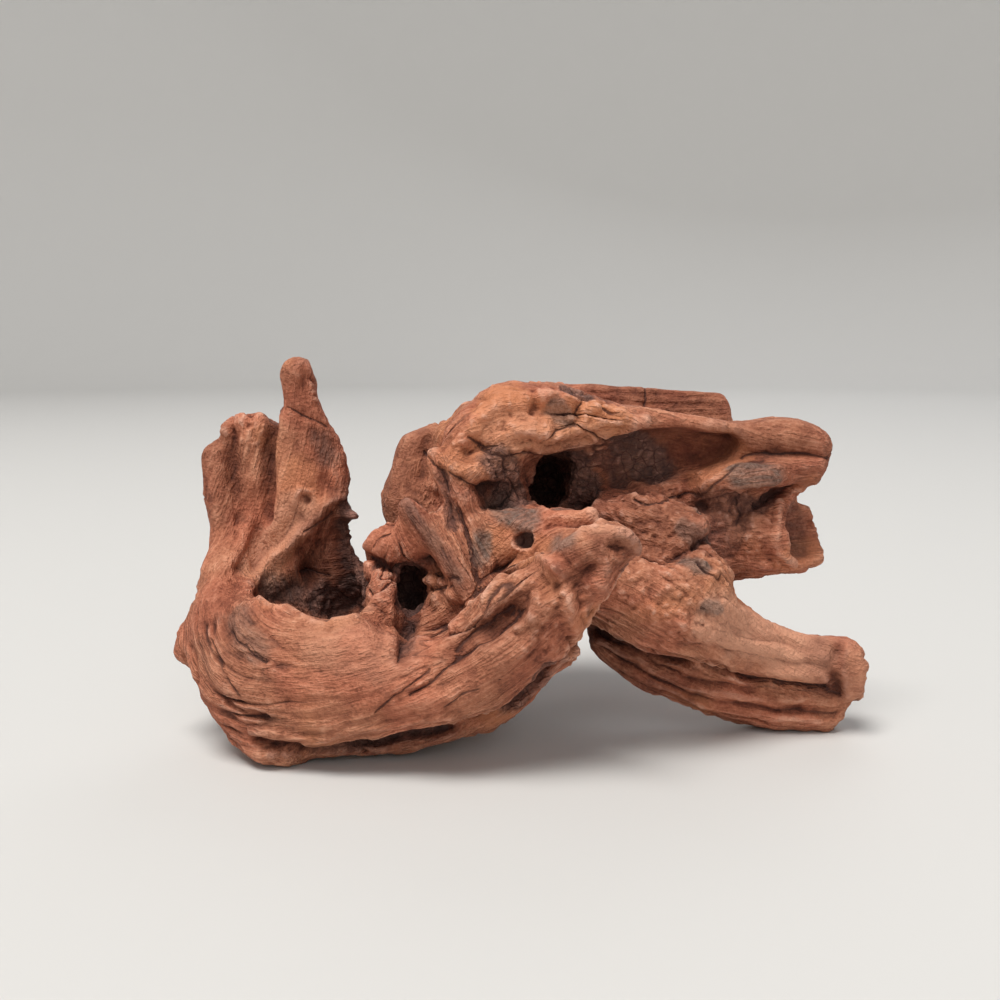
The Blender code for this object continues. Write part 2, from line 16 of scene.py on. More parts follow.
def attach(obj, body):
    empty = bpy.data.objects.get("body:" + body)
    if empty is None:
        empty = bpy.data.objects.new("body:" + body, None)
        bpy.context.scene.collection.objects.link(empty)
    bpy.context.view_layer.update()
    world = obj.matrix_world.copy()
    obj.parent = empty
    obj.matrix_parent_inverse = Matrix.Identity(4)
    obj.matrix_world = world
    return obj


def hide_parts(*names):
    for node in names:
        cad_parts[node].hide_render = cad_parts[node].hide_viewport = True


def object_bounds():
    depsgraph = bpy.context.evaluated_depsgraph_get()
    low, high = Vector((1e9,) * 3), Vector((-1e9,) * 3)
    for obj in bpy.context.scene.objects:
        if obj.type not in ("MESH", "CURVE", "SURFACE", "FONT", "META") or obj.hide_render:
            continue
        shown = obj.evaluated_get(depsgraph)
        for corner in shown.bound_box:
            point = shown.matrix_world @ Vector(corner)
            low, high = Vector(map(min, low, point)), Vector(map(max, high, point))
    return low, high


MM = 0.001
TINY = 1e-9
NUDGE = 1e-6

# The camera, where the front view was seen from
EYE = Vector((-6.354, -313.402, 115.084)) * MM
EYE_PITCH = math.radians(8.5)
FOCAL = 1100
PICTURE = 1000
MIDDLE = PICTURE / 2
SENSOR = 36
NEAR_CLIP = 0.01

# The studio, in metres and watts. A lamp is (name, place, power, size, colour), and every lamp faces AIM.
COOL = (0.95, 0.97, 1.0)
LAMPS = [
    ("key", (-0.55, -0.75, 2.5), 73.0, 1.2, (1.0, 0.985, 0.955)),
    ("fill", (0.5, -1.7, 1.3), 4.8, 1.0, COOL),
    ("back", (0.7, 2.0, 1.5), 11.0, 1.6, COOL),
]
AIM = Vector((0, 0, 0.05))
SKY = {"Color": (0.96, 0.97, 1.0, 1), "Strength": 0.27}

# The floor, in metres: its flat part, the bend at its edge and the top of its low wall
FLOOR_RADIUS = 2.2
FLOOR_BEND = 0.7
FLOOR_WALL = 1.8
FLOOR_SIDES = 96
FLOOR_BEND_STEPS = 12
FLOOR_LOOK = {"Base Color": (0.61, 0.60, 0.582, 1), "Roughness": 0.7, "Specular IOR Level": 0.25}

# The piece's mesh: how near its corners are to be one, the voxel of its skin while it is carved, how often
# that is smoothed, and its triangles when it is done
SAME_PLACE = 0.001 * MM
VOXEL = 0.56 * MM
SKIN_EASE = 4
TRIANGLES = 194000

# The spines that the grain follows: (channel, radius, turns per TURN_LENGTH, points). Spines that share a
# channel lie apart. A seen point is (across, down, depth), and a hidden one is (x, y, z).
CHANNELS = 4
TURN_LENGTH = 100
SEEN_SPINES = {
    "sweep": (0, 12, 0.05, [
        (294, 356, 12), (288, 420, 13), (274, 480, 13), (256, 540, 11), (240, 600, 5), (240, 655, -6),
        (268, 697, -18), (330, 704, -27), (400, 690, -32), (470, 655, -34), (530, 610, -35),
        (582, 570, -38), (640, 549, -44),
    ]),
    "back_lobe": (0, 9, 0.1, [(438, 570, 10), (424, 520, 18), (418, 470, 22), (440, 425, 24)]),
    "brow": (2, 11, 0.1, [
        (430, 560, 6), (444, 500, 5), (466, 440, 4), (520, 404, 0), (600, 408, 1), (680, 426, 3),
        (760, 440, 4), (836, 452, 3),
    ]),
    "spikes": (3, 6, 0.0, [(410, 460, -14), (432, 515, -16), (462, 570, -21), (486, 610, -26)]),
    "face": (3, 9, -0.1, [(560, 530, 0), (610, 505, 4), (670, 482, 5), (740, 474, 3), (830, 470, 3)]),
    "tongue": (1, 7, 0.2, [(590, 500, -2), (640, 520, -6), (712, 532, -10)]),
    "channel": (0, 9, 0.1, [(690, 560, 4), (750, 546, 6), (822, 538, 11)]),
    "leg": (2, 12, 0.35, [
        (540, 575, -8), (600, 586, -13), (660, 602, -15), (720, 628, -12), (790, 656, -6), (870, 674, -3),
    ]),
    "root": (3, 9, 0.05, [(570, 620, 0), (630, 655, 0), (700, 683, 0), (770, 700, 0), (846, 708, -1)]),
    "plank": (1, 9, 0.0, [(520, 420, 27), (580, 424, 34), (650, 428, 38), (738, 424, 41)]),
}
HIDDEN_SPINES = {
    "bowl_back": (1, 9, 0.1, [
        (-75, 7, 46), (-69, 9, 27), (-54, 7, 15), (-33, 12, 18), (-26, 4, 32), (-14, -4, 40), (0, -8, 48),
    ]),
    "back_swell": (3, 12, 0.1, [(-39, 22, 58), (-10, 32, 63), (19, 35, 69), (48, 30, 71), (75, 22, 69)]),
    "back_rib": (2, 10, 0.2, [(-48, 11, 33), (-19, 20, 35), (10, 22, 42), (42, 18, 48), (67, 16, 54)]),
    "back_foot": (0, 10, 0.1, [(-8, 12, 48), (-16, 28, 31), (-23, 39, 13), (-28, 45, -3)]),
    "back_root": (1, 7, 0.2, [(6, 22, 54), (13, 37, 38), (25, 43, 27), (38, 43, 23)]),
}

# The step and the blur of a spine, how steeply its pull falls off, how far apart the coordinates of two
# spines start, where its first way across leans to, and the least share of anything that is worth working out
SPINE_STEP = 2.0
SPINE_BLUR = 6.0
SPINE_PULL = 1.6
SPINE_APART = 137.0
FIRST_ACROSS = (0.0, 1.0, 0.2)
LEAST_SHARE = 0.01

# A noise is (size, amount, seed). The grain's noises have a length along it and a width across it instead of
# a size, and their seeds go up by CHANNEL_SEEDS from one channel to the next.
CHANNEL_SEEDS = 10

# How far the grain wanders: (length, width, amount, seeds across it both ways)
WARP = ((30, 11, 2.2, 50, 60), (11, 4, 0.7, 51, 61))
WARP_APART = 31.7

# The grain's relief: folds with sharp crests, and flutes and fibres with round backs. RISE says how much of
# the backs a place gets, from the noise's middle and its swing and between two limits.
FOLD = (36, 9.5, 1.9, 5)
FOLD_MEAN = 0.55
BACKS = ((44, 4.4, 1.05, 7), (24, 2.3, 0.55, 8))
BACK_MEAN = 0.5
BACK_CREASE = 0.01
RISE = (40, 18, 0.7, 6)
RISE_MIDDLE = 0.65
RISE_LIMITS = (0.2, 1.4)

# The share of the grain's relief that is kept in the front view, and what smooth and burnt wood take from it
SEEN_RELIEF = 0.55
SMOOTH_CALM = 0.75
CHAR_CALM = 0.4
CHAR_ROUGH_CALM = 0.7

# Lumps that don't follow the grain, and sharper ones on rough wood that are even about ROUGH_MEAN
LUMPS = ((11, 0.75, 80), (5.2, 0.55, 81), (2.6, 0.34, 82), (1.5, 0.2, 83))
ROUGH_LUMPS = ((4.6, 1.5, 85), (2.4, 0.9, 86), (1.3, 0.4, 87))
ROUGH_MEAN = 0.2

# Cracks along the grain: length and width of their noise, how much of it they take, depth and seed. They lie
# where another noise, of this size and seed, is above the first limit, and are whole above the second.
SPLIT = (52, 5.0, 0.085, 1.1, 3)
SPLIT_PLACES = (30, 4)
SPLIT_LIMITS = (0.05, 0.3)

# Burnt wood: size and seed of its plates, what they wander by, how much they differ in height, and the width
# and depth of the cracks between them
CHAR_CELL = (3.6, 91)
CHAR_WANDER = (2.4, 0.3, 90)
CHAR_STEP = 0.6
CHAR_CRACK = (0.22, 0.75)

# How far the strokes wander. Each of the three ways has its own seed, from this one up.
WANDER = ((7.0, 0.9, 100), (2.6, 0.22, 110))

# Strokes: the step along them, and how much wider than their reach each sort of them fades out
STROKE_STEP = 1.5
FORM_SPREAD = 1.25
STAIN_SPREAD = 1.5
CREASE_SPREAD = 1.4
CREASE_DARKNESS = 1.3
FAR_AWAY = 9.0

# The edges of stains: the noises that fray them, and the limits between which they fade in
STAIN_FRAY = ((3.4, 0.22, 70), (1.4, 0.16, 71))
STAIN_LIMITS = (0.08, 0.55)

# Hollows are burnt: the noise added to their shade, the limits of it and the strength
HOLLOW_FRAY = ((9.0, 0.12, 72),)
HOLLOW_LIMITS = (0.66, 0.9)
HOLLOW_CHAR = 0.8

# Stains in patches: (kind, noises, limits, strength, whether they lie only where the front view can't see)
PATCHES = [
    ("grey", ((13.0, 1, 73), (3.5, 0.3, 74)), (0.36, 0.6), 0.8, True),
    ("char", ((17.0, 1, 76), (4.0, 0.25, 77)), (0.36, 0.55), 0.9, True),
    ("rough", ((20.0, 1, 78),), (0.1, 0.5), 1, True),
    ("warm", ((16.0, 1, 75),), (0.25, 0.6), 0.6, False),
]

# The light that a place is kept from: rays, how far they look, where they start, the least that they face
# outward, and how many corners a point reads, with the softness of their weights
SHADE_RAYS = 48
SHADE_REACH = 45 * MM
SHADE_START = 0.3 * MM
SHADE_FACING = 0.1
SHADE_NEIGHBOURS = 6
SHADE_SOFTNESS = 0.5
HIDDEN_LIMITS = (0.3, 0.9)

# How far a point stands out of its surroundings: rounds of blurring, and the mm between 0 and 1
FINE_ROUNDS = 5
FINE_SWELL = 0.7
BROAD_ROUNDS = 60
BROAD_SWELL = 2.4

# The material's noises in mm: (length, width, detail) along the grain, or a size
STREAK = (26, 1.35, 3)
FIBRE = (9, 0.5, 1)
AREA = 20
BLOTCH = 4.5
SPECK = 0.9
PLATE = 4.0
PLATE_WANDER = (2.5, 1.6)

# The wood's colours by tone, from the darkest to the palest, and the colours that go over them
WOOD_TONES = [
    (0.20, (0.165, 0.056, 0.032)), (0.40, (0.320, 0.114, 0.062)), (0.54, (0.450, 0.176, 0.098)),
    (0.70, (0.590, 0.262, 0.156)), (0.88, (0.710, 0.365, 0.240)),
]
# orange heartwood and painted highlight
HEARTWOOD_AND_HIGHLIGHT = (0.660, 0.265, 0.118)
# pale wood and painted highlight
PALE_WOOD_AND_HIGHLIGHT = (0.62, 0.30, 0.19)
# worn edges and painted highlight on ridges
WORN_EDGE_AND_HIGHLIGHT = (0.70, 0.365, 0.255)
SLATE = ((0.095, 0.072, 0.060), (0.205, 0.150, 0.124))
BURNT = ((0.066, 0.038, 0.033), (0.160, 0.086, 0.070))
BURNT_EDGE = (0.32, 0.165, 0.13)
CRACK_COLOUR = (0.060, 0.024, 0.019)

# What the wood's colour is multiplied by: a red tint, and painted shade in creases, sunk places, places kept
# from light and dark stains
RED_TINT = (1.0, 0.86, 0.86)
CREASE_SHADE_TINT = (0.36, 0.26, 0.25)
SUNK_SHADE_TINT = (0.45, 0.36, 0.36)
SHADE_TINT = (0.42, 0.33, 0.33)
# dark wood and painted shade
SHADE_AND_DARK_WOOD_TINT = (0.42, 0.34, 0.34)

# The strokes of the front view. A row is (reach in mm, amount, then across and down of every place).

# Broad forms. The amount is their height in mm, and a negative one presses in.
FORMS = [
    # fin
    (2.6, -1.4, 233, 432, 236, 490, 240, 520), (3, -1.7, 272, 415, 270, 460, 270, 515),
    (2.4, 0.9, 282, 408, 281, 470, 278, 510), (4.5, 0.9, 250, 425, 253, 480), (4, 0.8, 212, 455, 217, 520),
    (2.2, 1, 222, 430, 226, 432), (2.2, 1, 239, 417, 242, 420), (2.2, 1, 259, 412, 262, 416),
    (1.6, -1.2, 230, 412, 231, 430), (1.6, -1, 250, 410, 250, 424), (2.4, 0.8, 296, 361, 298, 372),
    (1.5, -1, 312, 380, 317, 386), (2.6, 2.3, 333, 498, 292, 545, 278, 556, 247, 587),
    (4, -1.6, 337, 524, 318, 552, 300, 580), (3, -1, 322, 482, 296, 518, 275, 540, 256, 560),
    (1.6, 0.9, 300, 491, 313, 492, 316, 504, 307, 511, 297, 504, 300, 491), (1.3, -0.9, 305, 499, 308, 502),
    (3.5, -1, 322, 436, 330, 462, 332, 486), (2.2, 1.2, 336, 476, 341, 498), (4, -1.2, 342, 540, 348, 580),
    (3, -1.1, 318, 545, 310, 575), (2.5, 0.9, 330, 525, 326, 550), (5, 0.8, 214, 555, 208, 600),
    (3, -1, 238, 565, 227, 600, 226, 634), (2.2, 0.9, 250, 520, 236, 560), (2.4, 1.8, 343, 514, 347, 515),
    (1.2, 4.6, 346, 514, 348, 515), (1, 1, 311, 383, 313, 385), (1, 1, 312, 391, 314, 393),
    (1, 1, 313, 399, 315, 401), (1.6, -0.7, 300, 370, 306, 377, 303, 385),
    # rim of the bowl
    (1.8, 1.1, 246, 591, 259, 597, 267, 606, 287, 610, 301, 616, 313, 624, 326, 626),
    (2, 1.1, 334, 621, 348, 620, 368, 613, 376, 598), (1.4, -0.8, 330, 616, 330, 632),
    # front trunk: arcs that sweep round from the fin
    (3.2, -0.7, 222, 625, 232, 655, 252, 682, 285, 700), (3.5, 0.6, 240, 620, 252, 648, 278, 672, 315, 686),
    (2.6, -0.4, 262, 625, 285, 650, 320, 665, 365, 668), (6, 0.8, 318, 650, 352, 655),
    (3.5, 0.8, 205, 640, 214, 672, 236, 702, 272, 722, 320, 728, 370, 720),
    (1.9, 1.4, 252, 731, 282, 736, 317, 740, 353, 731, 400, 724, 450, 716),
    (1.8, -2.2, 255, 742, 282, 747, 317, 750, 339, 745, 375, 741, 400, 735, 450, 728),
    (1.5, -1.4, 229, 702, 243, 709, 265, 717), (1.6, -1, 190, 646, 196, 664, 196, 684),
    (1.2, -0.7, 263, 753, 272, 748, 281, 753, 280, 762, 270, 764, 265, 760),
    (2, -0.9, 400, 700, 430, 690, 460, 684), (5, 0.9, 430, 706, 475, 690, 520, 664),
    # front limb and knuckle
    (1.9, 2, 455, 630, 469, 615, 489, 596, 499, 583, 515, 568, 542, 559, 562, 566),
    (4.2, -1.9, 522, 606, 497, 624, 473, 638, 457, 654), (2.6, -1, 540, 580, 520, 592, 500, 610),
    (3, -1, 486, 580, 506, 562, 530, 550),
    (1.7, 1.3, 566, 547, 583, 529, 606, 528, 624, 531, 636, 541, 639, 551),
    (5, -0.9, 566, 580, 584, 564, 606, 553, 626, 552), (3.6, -1.2, 592, 574, 580, 598),
    (2.2, 1.4, 597, 504, 597, 516, 598, 528), (2, 1.8, 589, 513, 592, 524), (3, -1.2, 575, 586, 588, 570),
    (2.2, 1.1, 602, 588, 606, 572), (2, 1, 590, 608, 588, 624), (2.2, 1.4, 562, 570, 567, 600, 577, 630),
    (3, -1, 550, 592, 558, 615, 563, 640), (2.2, 0.9, 535, 600, 532, 640, 500, 664),
    (2, 1, 577, 652, 560, 664, 545, 680, 522, 703), (1.5, -1.6, 571, 640, 572, 654),
    (2.2, -1.6, 549, 668, 530, 686, 508, 704), (2.3, -3, 522, 540, 528, 538),
    (1.1, 0.5, 514, 541, 521, 530, 533, 531, 537, 542, 527, 549, 516, 547, 514, 541),
    (1.8, -0.8, 483, 538, 481, 556), (2, 0.9, 470, 548, 474, 522, 490, 513, 510, 521, 530, 528),
    (3, 1, 552, 517, 575, 515, 600, 516), (1.5, -1.4, 546, 526, 572, 523, 600, 528),
    (1.6, -0.9, 514, 634, 524, 630, 536, 624), (1.6, 0.9, 518, 627, 532, 620),
    (1.5, -0.9, 540, 632, 550, 626), (3, 1, 545, 606, 552, 596), (2, 1.3, 556, 572, 564, 574),
    (3.4, -1.3, 516, 612, 498, 624, 484, 634), (3, 0.9, 476, 640, 500, 652, 520, 646),
    # upper mass and back lobe
    (3.4, 0.8, 456, 466, 476, 462, 500, 462), (4.5, 2.2, 468, 497, 486, 501),
    (2.5, 1.3, 450, 457, 460, 443, 474, 425, 484, 419), (2.6, -1, 470, 456, 486, 440, 505, 432),
    (2, 1.6, 536, 450, 558, 446, 580, 441, 600, 436, 616, 431, 630, 426, 645, 421),
    (3, -1, 556, 430, 590, 421, 612, 415), (1.8, -1.1, 531, 390, 535, 400, 532, 411),
    (1.8, -1.1, 553, 402, 562, 412, 570, 421), (2.2, -0.8, 486, 424, 510, 414, 534, 419, 556, 427),
    (1.6, -1, 466, 450, 478, 446, 490, 451), (1.6, 0.9, 498, 436, 516, 430, 530, 436),
    (1.5, -0.8, 505, 444, 524, 441, 540, 444), (1.6, 0.8, 600, 420, 616, 424, 632, 419),
    (1.5, -0.8, 598, 432, 614, 428, 626, 425), (4, 1.1, 500, 392, 514, 402), (3.2, 1, 540, 393, 560, 400),
    (4, 1.1, 520, 425, 550, 430), (2.5, -1.1, 532, 408, 556, 416, 578, 410),
    (2, -1.4, 588, 398, 580, 412, 576, 432), (3.5, -1.4, 500, 465, 512, 485, 508, 505),
    (2, 1.3, 530, 472, 529, 490, 534, 505, 545, 514), (1.8, 1.1, 628, 431, 606, 442, 586, 455),
    (3.5, 1, 405, 440, 398, 470, 392, 500), (2.4, -1.2, 427, 440, 420, 475), (2.4, 1, 441, 430, 434, 452),
    (2, -1.2, 440, 470, 444, 500, 452, 525),
    # spikes and small lobes
    (2, 0.5, 404, 502, 425, 531, 450, 562, 468, 592), (1.1, 0.3, 394, 501, 414, 530, 440, 562, 460, 596),
    (1.1, 0.4, 403, 495, 428, 524, 455, 555, 478, 592), (1.2, -0.6, 430, 454, 450, 488, 470, 530, 480, 575),
    (1.1, -0.8, 446, 505, 460, 535, 472, 570), (2, 0.9, 364, 546, 374, 533, 387, 525),
    (1.6, -1.5, 362, 552, 382, 565, 396, 570, 413, 569), (1.8, 1, 357, 561, 359, 572),
    (2.5, 0.9, 385, 576, 379, 596, 377, 612), (3.8, -2, 404, 582, 415, 600),
    (2.2, -1.3, 413, 608, 407, 632, 400, 658), (2.5, 0.9, 392, 614, 390, 640), (2.5, 1, 426, 614, 421, 642),
    (2.2, 1.9, 430, 580, 432, 582), (2.2, 1.9, 443, 584, 445, 587), (2.2, 1.9, 435, 597, 437, 599),
    (2.2, 1.8, 452, 592, 454, 595), (1.3, 0.9, 465, 600, 467, 603), (1.3, 0.9, 475, 603, 477, 606),
    # wing and beak
    (2, 0.9, 620, 410, 660, 413, 700, 419, 722, 426), (4.5, 0.8, 745, 429, 775, 427, 805, 435),
    (2.4, 0.6, 750, 467, 790, 466, 825, 468), (6.5, -1.4, 665, 445, 700, 450, 725, 445),
    (2.4, 1.3, 690, 500, 715, 483, 742, 467), (2.4, -0.9, 690, 480, 715, 466, 738, 456),
    (3.5, -0.9, 750, 472, 772, 478), (1.8, -2, 757, 505, 776, 494, 792, 485), (1.5, 1, 792, 489, 803, 489),
    (3.6, 1.1, 680, 528, 705, 525), (1.4, -0.7, 644, 556, 661, 560, 685, 554, 708, 538),
    (2.6, 0.9, 648, 568, 672, 572, 700, 565), (2.2, 1, 626, 482, 650, 490, 676, 486),
    (3, -1.3, 735, 500, 742, 530, 735, 555), (1.6, 1.4, 780, 502, 778, 518, 774, 540, 779, 553, 793, 564),
    (5, -0.8, 793, 512, 797, 535, 800, 550), (2.2, 0.9, 715, 574, 745, 570, 775, 566),
    (1.2, -1, 771, 563, 775, 566),
    # plank
    (1.1, -0.5, 592, 392, 650, 393, 725, 396), (1.1, -0.4, 596, 402, 650, 403, 715, 405),
    (2, -1.5, 571, 389, 590, 391),
    # leg and root
    (2.4, 0.7, 725, 606, 751, 616, 788, 633, 834, 641),
    (1.8, -1.8, 592, 626, 644, 650, 683, 662, 713, 665, 762, 682, 827, 690),
    (2, 1, 610, 630, 650, 645, 700, 655, 762, 671, 828, 679), (2, 0.9, 846, 645, 844, 668, 848, 694),
    (2.2, -1.1, 837, 650, 835, 668, 837, 686), (1.5, -0.6, 700, 612, 740, 632, 790, 645, 828, 650),
    (1.5, -0.6, 715, 648, 770, 662, 828, 667), (2.2, 0.9, 710, 604, 714, 608),
    (2.6, -1, 722, 585, 716, 602), (2, -0.8, 588, 631, 637, 653, 682, 679, 723, 687, 790, 693, 838, 699),
    (1.8, 1, 600, 641, 645, 663, 690, 688, 740, 698, 800, 701),
    (2, -0.9, 600, 651, 637, 669, 675, 689, 723, 706, 790, 712, 838, 715),
    (1.6, 0.8, 650, 680, 700, 705, 760, 717, 820, 721), (1.5, -1, 662, 692, 713, 714, 764, 723),
]

# Cracks. The amount is their depth in mm.
CREASES = [
    (1, 0.6, 287, 408, 303, 415, 328, 426), (1, 0.7, 301, 573, 314, 572, 328, 575),
    (0.9, 0.6, 305, 530, 322, 520, 332, 512), (1.1, 0.8, 229, 629, 237, 640, 248, 647, 264, 662),
    (0.9, 0.5, 212, 640, 222, 670, 240, 695), (0.9, 0.28, 250, 640, 270, 660, 300, 680, 335, 690),
    (0.9, 0.28, 265, 632, 290, 655, 325, 672, 370, 680), (0.9, 0.25, 285, 630, 310, 645, 345, 655),
    (0.9, 0.25, 240, 700, 270, 712, 310, 720, 350, 720), (0.9, 0.25, 216, 606, 212, 640, 224, 680),
    (0.9, 0.25, 300, 700, 340, 702, 380, 694), (0.9, 0.5, 375, 712, 390, 701, 406, 689, 427, 673),
    (1, 0.7, 413, 697, 430, 682, 444, 668, 455, 655, 471, 647, 489, 637, 503, 624, 521, 610),
    (0.9, 0.5, 398, 662, 404, 640, 412, 632, 411, 614), (0.9, 0.5, 445, 705, 470, 690, 500, 678),
    (1.1, 0.8, 457, 646, 474, 629, 492, 617, 510, 608),
    (1, 0.7, 476, 597, 489, 588, 505, 574, 525, 563, 545, 558), (0.9, 0.5, 462, 606, 482, 584, 500, 566),
    (0.9, 0.25, 596, 553, 608, 547, 622, 549), (1, 0.6, 480, 450, 491, 454, 515, 455, 540, 452),
    (1.1, 0.8, 449, 475, 462, 481, 478, 485, 494, 487), (1, 0.7, 472, 440, 482, 447, 496, 446),
    (1, 0.7, 545, 440, 560, 432, 580, 429), (0.9, 0.5, 585, 402, 579, 410, 581, 418, 575, 428),
    (1, 0.6, 490, 462, 500, 474, 496, 492), (1, 0.6, 505, 460, 512, 478, 520, 496),
    (0.9, 0.6, 635, 499, 649, 504, 668, 499, 683, 493, 700, 491),
    (0.9, 0.6, 744, 457, 767, 453, 796, 454, 831, 458), (1, 0.6, 700, 494, 722, 481, 744, 464, 762, 460),
    (1, 0.8, 752, 508, 776, 494, 795, 486), (0.9, 0.5, 644, 556, 661, 560, 685, 554, 708, 540),
    (1, 0.6, 738, 500, 741, 512, 736, 524), (0.9, 0.5, 700, 434, 716, 438, 730, 436),
    (1, 0.8, 700, 664, 762, 682, 800, 686, 838, 694), (0.9, 0.3, 690, 618, 720, 632, 760, 640, 800, 645),
    (0.9, 0.3, 660, 622, 690, 642, 730, 652, 790, 660), (0.9, 0.3, 760, 655, 800, 664, 830, 668),
    (0.9, 0.35, 588, 629, 637, 650, 682, 677, 723, 684, 790, 691, 838, 698),
    (0.9, 0.4, 600, 649, 637, 667, 675, 687, 723, 704, 790, 711, 838, 714),
    (0.9, 0.3, 612, 645, 650, 668, 700, 692, 760, 700), (0.9, 0.35, 404, 500, 421, 524, 444, 554, 462, 588),
    (0.9, 0.3, 399, 505, 418, 534, 440, 566), (1, 0.8, 425, 452, 446, 488, 464, 530, 478, 580),
    (0.9, 0.7, 456, 500, 470, 540, 483, 585), (1.1, 0.9, 362, 552, 382, 565, 396, 570, 413, 569),
    (0.9, 0.6, 372, 548, 378, 538, 390, 534), (0.9, 0.6, 430, 590, 442, 592, 452, 586),
    (0.9, 0.6, 438, 572, 448, 580, 458, 578), (0.9, 0.5, 645, 386, 645, 400, 644, 410),
]

